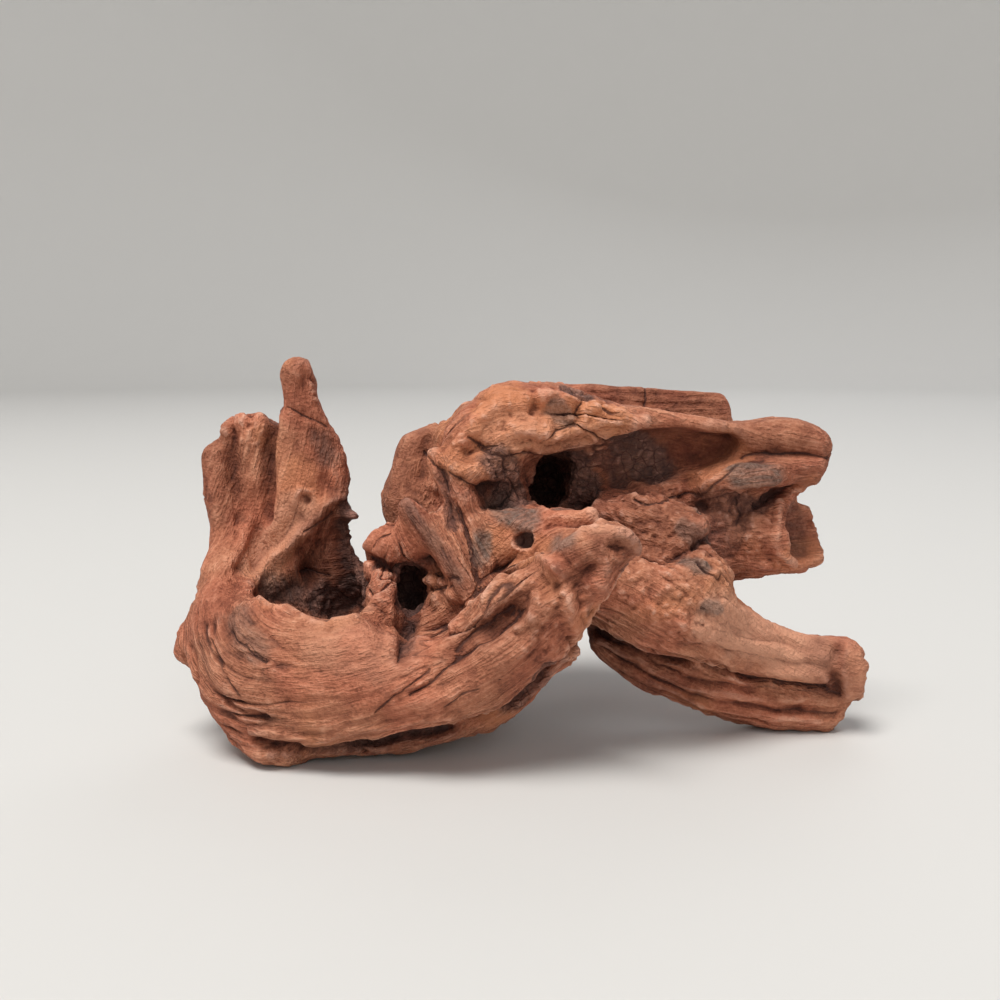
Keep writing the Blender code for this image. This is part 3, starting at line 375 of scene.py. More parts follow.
# Stains. The amount is their strength.
STAINS = {
    # cracked and burnt wood
    "char": [
        (5, 1, 574, 462, 584, 486, 586, 504), (4.5, 1, 553, 470, 549, 500),
        (6, 1, 626, 444, 642, 458, 652, 470), (5, 0.9, 497, 462, 511, 476, 514, 498),
        (6, 0.45, 715, 500, 735, 515, 722, 540), (5, 1, 322, 600, 345, 596, 362, 585),
        (4, 0.8, 354, 560, 350, 530, 351, 505), (3, 0.6, 262, 590, 285, 594, 304, 598),
        (4, 1, 404, 580, 414, 596, 420, 606), (3, 0.7, 600, 456, 616, 466, 620, 484),
        (2.2, 0.5, 412, 622, 406, 644), (2, 1, 521, 540, 529, 538), (3, 0.8, 549, 668, 530, 686, 508, 704),
        (3, 1, 570, 389, 586, 392), (2.6, 0.6, 742, 500, 756, 508, 768, 500),
        (2, 0.6, 440, 476, 446, 500, 452, 524), (2, 0.8, 344, 503, 353, 515, 360, 515),
        (2, 0.7, 317, 749, 353, 744, 400, 735, 440, 727),
    ],
    # deep red-brown wood, and painted shade on the parts that get little light
    "dark": [
        (8, 0.8, 660, 436, 695, 436, 722, 438), (6, 0.5, 610, 480, 640, 500, 690, 510),
        (4.5, 0.7, 522, 606, 497, 624, 473, 638, 457, 654), (5, 0.9, 578, 570, 600, 556, 625, 550),
        (7, 0.9, 596, 640, 640, 668, 680, 690), (5, 0.8, 345, 530, 352, 590), (4, 0.6, 318, 545, 312, 578),
        (4, 0.6, 735, 500, 742, 530, 735, 555), (3, 0.8, 280, 748, 353, 748, 450, 730),
        (3, 0.6, 404, 660, 410, 630, 414, 610), (2.8, 0.9, 273, 416, 270, 480),
        (3, 0.5, 742, 458, 767, 453, 829, 458), (1.5, 0.9, 787, 512, 789, 535, 794, 556),
        (1.2, 0.8, 797, 508, 801, 530, 805, 554), (9, 0.6, 645, 490, 690, 505, 740, 520),
        (6, 0.9, 338, 530, 322, 552, 310, 585), (5.5, 1, 596, 394, 660, 396, 730, 400),
        (2.4, 0.6, 405, 505, 430, 542, 456, 580), (5, 0.4, 236, 612, 246, 640, 268, 668),
        (3, 1, 838, 652, 834, 668, 837, 690), (9, 0.4, 212, 606, 222, 660, 250, 700),
        (9, 0.3, 500, 690, 545, 650), (6, 0.8, 822, 655, 834, 672, 828, 684),
        (3, 0.7, 456, 484, 480, 490, 496, 490), (8, 0.8, 318, 545, 340, 520),
        (4.5, 1, 342, 500, 346, 545, 350, 580), (3.4, 0.85, 400, 500, 430, 540, 462, 585),
        (9, 0.9, 610, 520, 650, 530, 705, 530), (8, 0.5, 720, 500, 745, 535),
        (8, 0.4, 470, 660, 510, 640, 540, 622), (8, 0.7, 404, 440, 392, 470, 394, 510),
        (9, 0.65, 755, 440, 800, 445, 822, 470), (8, 0.7, 212, 445, 222, 500),
        (7, 0.55, 300, 372, 306, 420, 318, 445),
    ],
    # grey weathered patches
    "grey": [
        (2.6, 0.9, 482, 540, 481, 556), (1.8, 0.5, 404, 502, 430, 538, 458, 578),
        (3, 0.7, 556, 408, 568, 416), (2.6, 0.8, 556, 543, 568, 542),
        (4.5, 0.9, 744, 474, 760, 470, 772, 480), (3, 0.9, 688, 560, 700, 566),
        (3, 0.7, 684, 530, 694, 536), (4.5, 0.9, 496, 506, 512, 512, 526, 519),
        (4, 0.45, 236, 616, 244, 634, 256, 650), (3.4, 0.5, 322, 440, 330, 458),
        (2.2, 0.8, 708, 606, 716, 608), (3.4, 0.35, 790, 510, 798, 530, 796, 548),
        (4, 0.6, 270, 586, 290, 590),
    ],
    # pale ends and rims of the wood, and painted highlight on the lit low fin, brow and top of the leg
    "pale": [
        (5, 0.3, 853, 652, 857, 672, 855, 692), (6, 0.7, 256, 572, 272, 545, 296, 510),
        (7, 0.4, 500, 430, 540, 440, 590, 440), (9, 0.35, 330, 640, 390, 650),
        (3, 0.6, 583, 528, 606, 527, 624, 530, 637, 541), (8, 1, 720, 620, 780, 642, 812, 652),
    ],
    # fresh orange heartwood, and painted highlight on lit tops such as the brow
    "warm": [
        (8, 1, 500, 400, 500, 440, 520, 420, 560, 430, 600, 420), (5, 0.7, 455, 460, 480, 466),
        (5, 0.8, 256, 578, 270, 560, 290, 530), (5, 0.6, 300, 470, 300, 500), (5, 0.8, 700, 476, 735, 456),
        (5, 0.6, 500, 540, 540, 556), (5, 0.5, 720, 590, 760, 612, 790, 626), (5, 0.5, 790, 560, 812, 552),
    ],
    # lumpy wood
    "rough": [
        (9, 1, 640, 580, 680, 600, 700, 620), (7, 1, 640, 500, 680, 505, 720, 500),
        (6, 0.8, 470, 430, 520, 440, 580, 425), (6, 0.8, 540, 600, 560, 640), (4, 0.8, 600, 556, 622, 552),
        (5, 0.7, 232, 430, 260, 425), (4, 0.8, 735, 500, 742, 545), (8, 0.8, 560, 590, 575, 620, 560, 650),
        (8, 0.6, 520, 600, 540, 630), (9, 1, 620, 520, 660, 535, 700, 540, 740, 530),
        (8, 0.7, 490, 400, 520, 410, 560, 405, 600, 410),
    ],
    # wood with calm grain
    "smooth": [
        (9, 0.9, 665, 432, 700, 436, 730, 440), (7, 0.7, 760, 432, 800, 440),
        (5, 0.8, 500, 545, 560, 545, 600, 530), (9, 0.8, 735, 625, 780, 645, 830, 665),
        (8, 0.6, 640, 662, 720, 692, 830, 706),
        (9, 0.6, 235, 640, 262, 680, 320, 700, 390, 690, 450, 690, 520, 650),
        (8, 0.6, 300, 640, 370, 650, 430, 660), (5, 0.8, 392, 500, 430, 555, 468, 600),
        (5, 0.6, 790, 510, 800, 550), (7, 0.6, 214, 460, 218, 540, 210, 600), (5, 0.6, 300, 430, 305, 470),
        (8, 1, 600, 390, 660, 394, 725, 398), (5, 0.8, 368, 545, 382, 535),
        (8, 0.8, 298, 372, 302, 420, 304, 490), (5, 1, 550, 516, 598, 516),
        (9, 0.8, 630, 582, 660, 592, 700, 612), (6, 1, 846, 650, 852, 670, 850, 690),
        (9, 1, 404, 440, 392, 470, 394, 510), (9, 0.7, 262, 500, 270, 545, 300, 480),
        (7, 0.7, 690, 640, 740, 655, 800, 672),
    ],
}


def sight(across, down):
    """The direction in which the eye sees this place of the front view, one unit deep."""
    right = (across - MIDDLE) / FOCAL
    up = -(down - MIDDLE) / FOCAL
    forward = math.cos(EYE_PITCH) + up * math.sin(EYE_PITCH)
    rise = up * math.cos(EYE_PITCH) - math.sin(EYE_PITCH)
    return Vector((right / forward, 1, rise / forward))


def seen(across, down, depth):
    """The point at this place of the front view and this depth, all in mm."""
    return (EYE + (depth * MM - EYE.y) * sight(across, down)) / MM


def smoothstep(low, high, x):
    t = np.clip((x - low) / (high - low), 0, 1)
    return t * t * (3 - 2 * t)


# The numbers by which scramble mixes bits
BITS = np.uint64(0xFFFFFFFF)
SEED_MIX = (0x9E3779B1, 0x7F4A7C15)
CELL_MIX = ((np.uint64(0x85EBCA6B), np.uint64(15)), (np.uint64(0xC2B2AE35), np.uint64(13)))


def scramble(cells, seed):
    """A pseudo-random 32-bit number for each row of whole numbers."""
    h = np.full(len(cells), seed * SEED_MIX[0] + SEED_MIX[1] & int(BITS), np.uint64)
    for k in range(3):
        h = h ^ (cells[:, k].astype(np.int64).astype(np.uint64) & BITS)
        for factor, shift in CELL_MIX:
            h = (h * factor) & BITS
            h ^= h >> shift
    return h


def number_of(h, shift, most):
    """A number from 0 to 1 out of the bits of h from shift up. most is the largest number that they hold."""
    return (h >> np.uint64(shift) & np.uint64(most)).astype(float) / most


def three_numbers(h):
    """Three numbers from 0 to 1 out of each 32-bit number."""
    return np.stack([number_of(h, shift, 1023) for shift in (0, 10, 20)], 1)


def wave(points, seed):
    """Gradient noise at every row of points, about -1 to 1, with features one unit across."""
    cells = np.floor(points)
    part = points - cells
    ease = part**3 * (part * (part * 6 - 15) + 10)
    total = np.zeros(len(points))
    for corner in range(8):
        step = np.array([corner & 1, corner >> 1 & 1, corner >> 2 & 1], float)
        slope = 2 * three_numbers(scramble(cells + step, seed)) - 1
        share = np.prod(np.where(step > 0, ease, 1 - ease), axis=1)
        total += share * np.sum(slope * (part - step), axis=1)
    return total * 1.5


def noises(points, rows, start=0):
    """start with the noises of these rows (size, amount, seed) added to it."""
    return sum((amount * wave(points / size, seed) for size, amount, seed in rows), start)


def cracks_between_cells(points, seed):
    """For each row of points, how far it is from the border of its cell, and its cell's own number, 0 to 1."""
    cells = np.floor(points)
    nearest = np.full(len(points), FAR_AWAY)
    second = np.full(len(points), FAR_AWAY)
    own = np.zeros(len(points))
    for step in np.ndindex(3, 3, 3):
        cell = cells + np.array(step) - 1
        h = scramble(cell, seed)
        away = np.linalg.norm(cell + three_numbers(h) - points, axis=1)
        closer = away < nearest
        second = np.where(closer, nearest, np.minimum(second, away))
        own = np.where(closer, number_of(h, 5, 255), own)
        nearest = np.minimum(nearest, away)
    return second - nearest, own


def curve_points(points, step):
    """The points of a smooth curve through these, a step apart."""
    rows = np.array(points, float)
    padded = np.vstack([2 * rows[0] - rows[1], rows, 2 * rows[-1] - rows[-2]])
    out = []
    for i in range(len(rows) - 1):
        p0, p1, p2, p3 = padded[i : i + 4]
        count = max(2, round(float(np.linalg.norm(p2 - p1)) / step))
        for t in np.arange(count) / count:
            bend = 2 * p0 - 5 * p1 + 4 * p2 - p3
            swing = 3 * p1 - p0 - 3 * p2 + p3
            out.append(0.5 * (2 * p1 + (p2 - p0) * t + bend * t**2 + swing * t**3))
    return np.array(out + [rows[-1]])


def unit_rows(rows):
    return rows / np.maximum(np.linalg.norm(rows, axis=1), TINY)[:, None]


def along_spine(points, spine, twist):
    """Each point's coordinates along and across a spine, and its distance from it."""
    steps = np.diff(spine, axis=0)
    arc = np.concatenate([[0], np.cumsum(np.linalg.norm(steps, axis=1))])
    tangents = unit_rows(np.gradient(spine, axis=0))
    across = np.cross(tangents[0], FIRST_ACROSS)
    firsts = []
    for tangent in tangents:
        across = across - across.dot(tangent) * tangent
        across /= np.linalg.norm(across)
        firsts.append(across)
    firsts = np.array(firsts)
    turn = (arc * twist * 2 * math.pi / TURN_LENGTH)[:, None]
    seconds = np.cross(tangents, firsts)
    firsts, seconds = (
        firsts * np.cos(turn) + seconds * np.sin(turn),
        seconds * np.cos(turn) - firsts * np.sin(turn),
    )
    squares = np.sum(points**2, 1)[:, None] + np.sum(spine**2, 1)[None] - 2 * points @ spine.T
    squares = np.maximum(squares, 0)
    least = squares.min(axis=1)
    share = np.exp((least[:, None] - squares) / (2 * SPINE_BLUR**2))
    share /= share.sum(axis=1)[:, None]
    offset = points - share @ spine
    ways = [unit_rows(share @ rows) for rows in (tangents, firsts, seconds)]
    q = np.stack([np.sum(offset * way, 1) for way in ways], 1)
    q[:, 0] += share @ arc
    return q, np.sqrt(least)


def spines():
    """Every spine as (channel, radius, twist, its points in mm)."""
    out = []
    for channel, radius, twist, points in SEEN_SPINES.values():
        out.append((channel, radius, twist, curve_points([seen(*p) for p in points], SPINE_STEP)))
    for channel, radius, twist, points in HIDDEN_SPINES.values():
        out.append((channel, radius, twist, curve_points(points, SPINE_STEP)))
    return out


def grain_of(points):
    """The grain at points in mm: each channel's coordinates, and its share, 0 where two of its spines meet."""
    count = len(points)
    coordinates = np.zeros((CHANNELS, count, 3))
    best = np.zeros((CHANNELS, count))
    second = np.zeros((CHANNELS, count))
    for number, (channel, radius, twist, spine) in enumerate(spines()):
        q, away = along_spine(points, spine, twist)
        pull = np.exp(-SPINE_PULL * (away / radius) ** 2) + TINY / (1 + away)
        closer = pull > best[channel]
        second[channel] = np.where(closer, best[channel], np.maximum(second[channel], pull))
        best[channel] = np.where(closer, pull, best[channel])
        coordinates[channel][closer] = q[closer] + SPINE_APART * number
    share = best - second
    return coordinates, share / share.sum(axis=0)


def blended(coordinates, share, field):
    """field at each channel's coordinates, mixed so that it keeps its strength where channels meet."""
    total = np.zeros(share.shape[1])
    for channel in range(CHANNELS):
        here = share[channel] > LEAST_SHARE
        total[here] += share[channel][here] * field(coordinates[channel][here], channel)
    return total / np.sqrt(np.sum(share**2, axis=0))


def stretched(q, length, width):
    """Grain coordinates in which something this long and this wide is one unit across."""
    return q / np.array([length, width, width])


def warped(q, channel):
    """Grain coordinates that wander a little from the straight."""
    out = q.copy()
    for length, width, amount, first, second in WARP:
        scaled = stretched(q, length, width)
        out[:, 1] += amount * wave(scaled, channel + first)
        out[:, 2] += amount * wave(scaled + WARP_APART, channel + second)
    return out


def grain_relief(q, channel):
    """Height in mm: folds with sharp crests, and on them flutes and fibres with round backs."""
    q = warped(q, channel)
    seeds = CHANNEL_SEEDS * channel
    length, width, amount, seed = FOLD
    crest = 1 - np.abs(wave(stretched(q, length, width), seed + seeds))
    height = amount * (crest**2 - FOLD_MEAN)
    length, width, swing, seed = RISE
    rise = RISE_MIDDLE + swing * wave(stretched(q, length, width), seed + seeds)
    for length, width, amount, seed in BACKS:
        backs = np.abs(wave(stretched(q, length, width), seed + seeds))
        height += amount * np.clip(rise, *RISE_LIMITS) * (np.sqrt(backs + BACK_CREASE) - BACK_MEAN)
    return height


def grain_splits(q, channel):
    """A number that is 0 in the middle of each crack along the grain."""
    length, width, _, _, seed = SPLIT
    return wave(stretched(warped(q, channel), length, width), seed + CHANNEL_SEEDS * channel)


def read(mesh, what):
    """A row for each of mesh's points: its "co" or its "normal"."""
    values = np.empty(len(mesh.vertices) * 3, np.float32)
    mesh.vertices.foreach_get(what, values)
    return values.reshape(-1, 3).astype(float)


def write(mesh, points):
    mesh.vertices.foreach_set("co", points.astype(np.float32).ravel())
    mesh.update()


def placed(name, data):
    """A new object of the scene with this data."""
    obj = bpy.data.objects.new(name, data)
    bpy.context.scene.collection.objects.link(obj)
    return obj


def applied(obj):
    """obj with its modifiers applied."""
    graph = bpy.context.evaluated_depsgraph_get()
    mesh = bpy.data.meshes.new_from_object(obj.evaluated_get(graph))
    obj.modifiers.clear()
    obj.data = mesh
    mesh.name = obj.name
    return obj


def edges_of(mesh):
    pairs = np.empty(len(mesh.edges) * 2, np.int32)
    mesh.edges.foreach_get("vertices", pairs)
    return pairs.reshape(-1, 2)


def spread(values, edges, rounds):
    """values averaged with their neighbours along edges, this many rounds."""
    count = np.bincount(edges.ravel(), minlength=len(values))[:, None]
    for _ in range(rounds):
        total = np.zeros_like(values)
        for column in range(values.shape[1]):
            total[:, column] = np.bincount(edges[:, 0], values[edges[:, 1], column], len(values))
            total[:, column] += np.bincount(edges[:, 1], values[edges[:, 0], column], len(values))
        values = (values + total / count) / 2
    return values


def swell(points, normals, edges, rounds):
    """How far each point stands out from its surroundings, in mm: positive on ridges, negative in creases."""
    return np.sum((points - spread(points, edges, rounds)) * normals, axis=1)


def strokes(rows):
    """Each row of strokes as its reach, its amount and its places, of (across, down)."""
    return [(reach, amount, list(zip(flat[::2], flat[1::2]))) for reach, amount, *flat in rows]


def stroke_hits(tree, places):
    """The points of the surface, in mm, that the eye sees along these places."""
    hits = []
    for (x1, y1), (x2, y2) in zip(places, places[1:]):
        steps = max(2, round(math.dist((x1, y1), (x2, y2)) / STROKE_STEP))
        for t in np.arange(steps + 1) / steps:
            hit = tree.ray_cast(EYE, sight(x1 + (x2 - x1) * t, y1 + (y2 - y1) * t).normalized())[0]
            if hit:
                hits.append(tuple(hit / MM))
    return np.array(hits)


def stroke_share(points, hits, reach):
    """The points near a stroke: their numbers, how far each is off to a side, and its share, 1 to 0."""
    if not len(hits):
        none = np.zeros(0)
        return none.astype(int), none, none
    low, high = hits.min(axis=0) - reach, hits.max(axis=0) + reach
    near = np.nonzero(np.all((points > low) & (points < high), axis=1))[0]
    offset = points[near][:, None] - hits[None]
    squares = np.sum(offset**2, axis=2)
    nearest = squares.argmin(axis=1)
    rows = np.arange(len(near))
    tangents = np.gradient(np.vstack([hits, hits[-1:] + NUDGE]), axis=0)[nearest] + TINY
    aside = unit_rows(np.cross(tangents, hits[nearest] - np.array(EYE) / MM))
    side = np.sum(offset[rows, nearest] * aside, axis=1)
    share = np.clip(1 - squares[rows, nearest] / reach**2, 0, 1) ** 2
    return near, side, share


def shade_of(mesh, tree, points):
    """How much light each point is kept from, and how much of it the eye can't see, both 0 to 1.

    They are read at the mesh's corners and spread to points.
    """
    corners, normals = read(mesh, "co"), read(mesh, "normal")
    turns = np.arange(SHADE_RAYS) + 0.5
    tilt = np.arccos(1 - 2 * turns / SHADE_RAYS)
    spin = math.pi * (1 + 5**0.5) * turns
    rays = np.stack([np.sin(tilt) * np.cos(spin), np.sin(tilt) * np.sin(spin), np.cos(tilt)], 1)
    marks = KDTree(len(corners))
    readings = np.zeros((len(corners), 2))
    for i, (corner, normal) in enumerate(zip(corners, normals)):
        facing = rays @ normal
        start = Vector(corner + normal * SHADE_START)
        faces_away = (EYE - start).dot(Vector(normal)) < 0
        readings[i, 1] = faces_away or tree.ray_cast(start, EYE - start)[0] is not None
        blocked = 0.0
        for k in np.nonzero(facing > SHADE_FACING)[0]:
            if tree.ray_cast(start, Vector(rays[k]), SHADE_REACH)[0]:
                blocked += facing[k]
        readings[i, 0] = blocked / facing[facing > SHADE_FACING].sum()
        marks.insert(corner, i)
    marks.balance()
    out = np.empty((len(points), 2))
    for i, p in enumerate(points * MM):
        found = marks.find_n(p, SHADE_NEIGHBOURS)
        weights = np.array([1 / (away / MM + SHADE_SOFTNESS) ** 2 for _, _, away in found])
        out[i] = weights @ readings[[j for _, j, _ in found]] / weights.sum()
    return out.T


def joined(solid):
    """A copy of the solid's mesh in which neighbouring faces share their corners."""
    mesh = solid.data.copy()
    shell = bmesh.new()
    shell.from_mesh(mesh)
    bmesh.ops.remove_doubles(shell, verts=shell.verts, dist=SAME_PLACE)
    for face in shell.faces:
        face.smooth = True
    shell.to_mesh(mesh)
    shell.free()
    for name in [layer.name for layer in mesh.attributes if layer.name in ("sharp_face", "sharp_edge")]:
        mesh.attributes.remove(mesh.attributes[name])
    return mesh


def skin_of(mesh):
    """A new object with the solid's shape in fine even faces."""
    obj = placed("driftwood_surface", mesh.copy())
    rounded = obj.modifiers.new("round", "SUBSURF")
    rounded.levels = rounded.render_levels = 1
    fine = obj.modifiers.new("fine", "REMESH")
    fine.mode = "VOXEL"
    fine.voxel_size = VOXEL
    fine.use_smooth_shade = True
    ease = obj.modifiers.new("ease", "SMOOTH")
    ease.iterations = SKIN_EASE
    return applied(obj)


def stains_of(tree, points, shade, behind):
    """The share of each kind of stain at each point, 0 to 1: those of the front view, and others by rule."""
    stains = {kind: np.zeros(len(points)) for kind in STAINS}
    fray = noises(points, STAIN_FRAY)
    for kind, rows in STAINS.items():
        for reach, strength, places in strokes(rows):
            near, _, share = stroke_share(points, stroke_hits(tree, places), reach * STAIN_SPREAD)
            stain = strength * smoothstep(*STAIN_LIMITS, share + fray[near])
            stains[kind][near] = np.maximum(stains[kind][near], stain)
    hollow = smoothstep(*HOLLOW_LIMITS, noises(points, HOLLOW_FRAY, shade))
    stains["char"] = np.maximum(stains["char"], HOLLOW_CHAR * hollow)
    for kind, rows, limits, strength, only_behind in PATCHES:
        patch = strength * smoothstep(*limits, noises(points, rows))
        stains[kind] = np.maximum(stains[kind], patch * behind if only_behind else patch)
    return stains


def add_plates(height, points, char):
    """Gives height the cracked plates of burnt wood, each of which stands a little higher or lower."""
    burnt = np.nonzero(char > LEAST_SHARE)[0]
    size, seed = CHAR_CELL
    border, own = np.full(len(points), 1.0), np.zeros(len(points))
    places = points[burnt] / size + noises(points[burnt], (CHAR_WANDER,))[:, None]
    border[burnt], own[burnt] = cracks_between_cells(places, seed)
    width, depth = CHAR_CRACK
    height -= depth * (1 - smoothstep(0, 2 * width, border)) * char
    height += CHAR_STEP * (own - 0.5) * char


def carved(obj, base, cad_box):
    """Carves obj's skin and stores on it what its material needs. base is the solid's mesh."""
    mesh = obj.data
    tree = BVHTree.FromPolygons([v.co for v in base.vertices], [p.vertices for p in base.polygons])
    points, normals = read(mesh, "co") / MM, read(mesh, "normal")
    coordinates, share = grain_of(points)
    shade, hidden = shade_of(base, tree, points)
    behind = smoothstep(*HIDDEN_LIMITS, hidden)
    stains = stains_of(tree, points, shade, behind)
    char = stains["char"]

    wandering = points.copy()
    for axis in range(3):
        rows = [(size, amount, seed + axis) for size, amount, seed in WANDER]
        wandering[:, axis] = noises(points, rows, points[:, axis])
    forms = np.zeros(len(points))
    for reach, amount, places in strokes(FORMS):
        near, _, part = stroke_share(wandering, stroke_hits(tree, places), reach * FORM_SPREAD)
        forms[near] += amount * part

    height = noises(points, LUMPS, blended(coordinates, share, grain_relief))
    calm = (1 - SMOOTH_CALM * stains["smooth"]) * (SEEN_RELIEF + (1 - SEEN_RELIEF) * behind)
    height *= calm * (1 - CHAR_CALM * char)
    for size, amount, seed in ROUGH_LUMPS:
        lumps = np.abs(wave(points / size, seed)) - ROUGH_MEAN
        height += amount * lumps * stains["rough"] * (1 - CHAR_ROUGH_CALM * char)
    height += forms
    splits = blended(coordinates, share, grain_splits)
    size, seed = SPLIT_PLACES
    split_share = smoothstep(*SPLIT_LIMITS, wave(points / size, seed)) * (1 - char) * (1 - stains["smooth"])
    _, _, width, depth, _ = SPLIT
    height -= depth * split_share * (1 - smoothstep(0, 2 * width, np.abs(splits)))
    add_plates(height, points, char)
    marks = np.full(len(points), FAR_AWAY)
    mark_share = np.zeros(len(points))
    for reach, depth, places in strokes(CREASES):
        near, side, part = stroke_share(wandering, stroke_hits(tree, places), reach * CREASE_SPREAD)
        height[near] -= depth * part
        marks[near] = np.where(np.abs(side) < np.abs(marks[near]), side, marks[near])
        mark_share[near] = np.maximum(mark_share[near], part * min(1, depth * CREASE_DARKNESS))
    points += normals * height[:, None]
    points = np.clip(points, cad_box[0] / MM, cad_box[1] / MM)
    write(mesh, points * MM)

    edges = edges_of(mesh)
    normals = read(mesh, "normal")
    layers = {
        "split": splits, "split_share": split_share, "mark": marks, "mark_share": mark_share, "shade": shade,
        "sharp": 0.5 + swell(points, normals, edges, FINE_ROUNDS) / FINE_SWELL,
        "broad": 0.5 + swell(points, normals, edges, BROAD_ROUNDS) / BROAD_SWELL,
        "gain": 1 / np.sqrt(np.sum(share**2, axis=0)), **stains,
    }
    for name, values in layers.items():
        layer = mesh.attributes.new(name, "FLOAT", "POINT")
        layer.data.foreach_set("value", values.astype(np.float32))
    layer = mesh.attributes.new("share", "FLOAT_COLOR", "POINT")
    layer.data.foreach_set("color", share.T.astype(np.float32).ravel())
    for channel in range(CHANNELS):
        layer = mesh.attributes.new(f"grain_{channel}", "FLOAT_VECTOR", "POINT")
        layer.data.foreach_set("vector", coordinates[channel].astype(np.float32).ravel())


class Nodes:
    """A short way to build a material's nodes. A value may be a number, a colour or another node's output."""

    def __init__(self, material):
        material.use_nodes = True
        self.tree = material.node_tree
        self.tree.nodes.clear()

    def add(self, kind, inputs=None, **settings):
        node = self.tree.nodes.new(kind)
        for name, value in settings.items():
            setattr(node, name, value)
        for name, value in (inputs or {}).items():
            self.give(node.inputs[name], value)
        return node

    def give(self, socket, value):
        if isinstance(value, bpy.types.NodeSocket):
            self.tree.links.new(value, socket)
        else:
            socket.default_value = value

    def value(self, name):
        """A number that carved stored on the mesh."""
        return self.add("ShaderNodeAttribute", attribute_name=name).outputs["Fac"]

    def math(self, operation, a, b=0.0, c=0.0):
        return self.add("ShaderNodeMath", {0: a, 1: b, 2: c}, operation=operation).outputs[0]

    def times(self, a, b):
        return self.math("MULTIPLY", a, b)

    def most(self, a, b):
        return self.math("MAXIMUM", a, b)

    def plus(self, base, value, amount):
        """base with amount times value added to it."""
        return self.math("MULTIPLY_ADD", value, amount, base)

    def between(self, value, low, high, to_low=0.0, to_high=1.0):
        """value taken smoothly from the range low to high to the range to_low to to_high."""
        inputs = {"Value": value, "From Min": low, "From Max": high, "To Min": to_low, "To Max": to_high}
        return self.add("ShaderNodeMapRange", inputs, interpolation_type="SMOOTHSTEP").outputs[0]

    def line(self, value, width):
        """1 where value is 0, falling to 0 at width on either side."""
        return self.between(self.math("ABSOLUTE", value), 0.2 * width, width, 1.0, 0.0)

    def mix(self, share, a, b, blend="MIX"):
        node = self.add("ShaderNodeMix", {"Factor": share}, data_type="RGBA", blend_type=blend)
        for socket, value in ((node.inputs[6], a), (node.inputs[7], b)):
            self.give(socket, (*value, 1) if isinstance(value, tuple) else value)
        return node.outputs[2]

    def tinted(self, share, colour, tint):
        """colour with this share of it multiplied by tint."""
        return self.mix(share, colour, self.mix(1.0, colour, tint, "MULTIPLY"))

    def noise(self, vector, scale, detail=1.0, roughness=0.55, output="Fac"):
        inputs = {"Vector": vector, "Scale": scale, "Detail": detail, "Roughness": roughness}
        return self.add("ShaderNodeTexNoise", inputs).outputs[output]

    def vector(self, operation, inputs):
        return self.add("ShaderNodeVectorMath", inputs, operation=operation).outputs[0]

    def ramp(self, value, stops):
        node = self.add("ShaderNodeValToRGB", {"Fac": value})
        band = node.color_ramp.elements
        while len(band) < len(stops):
            band.new(0.5)
        for element, (place, colour) in zip(band, stops):
            element.position = place
            element.color = (*colour, 1)
        return node.outputs["Color"]


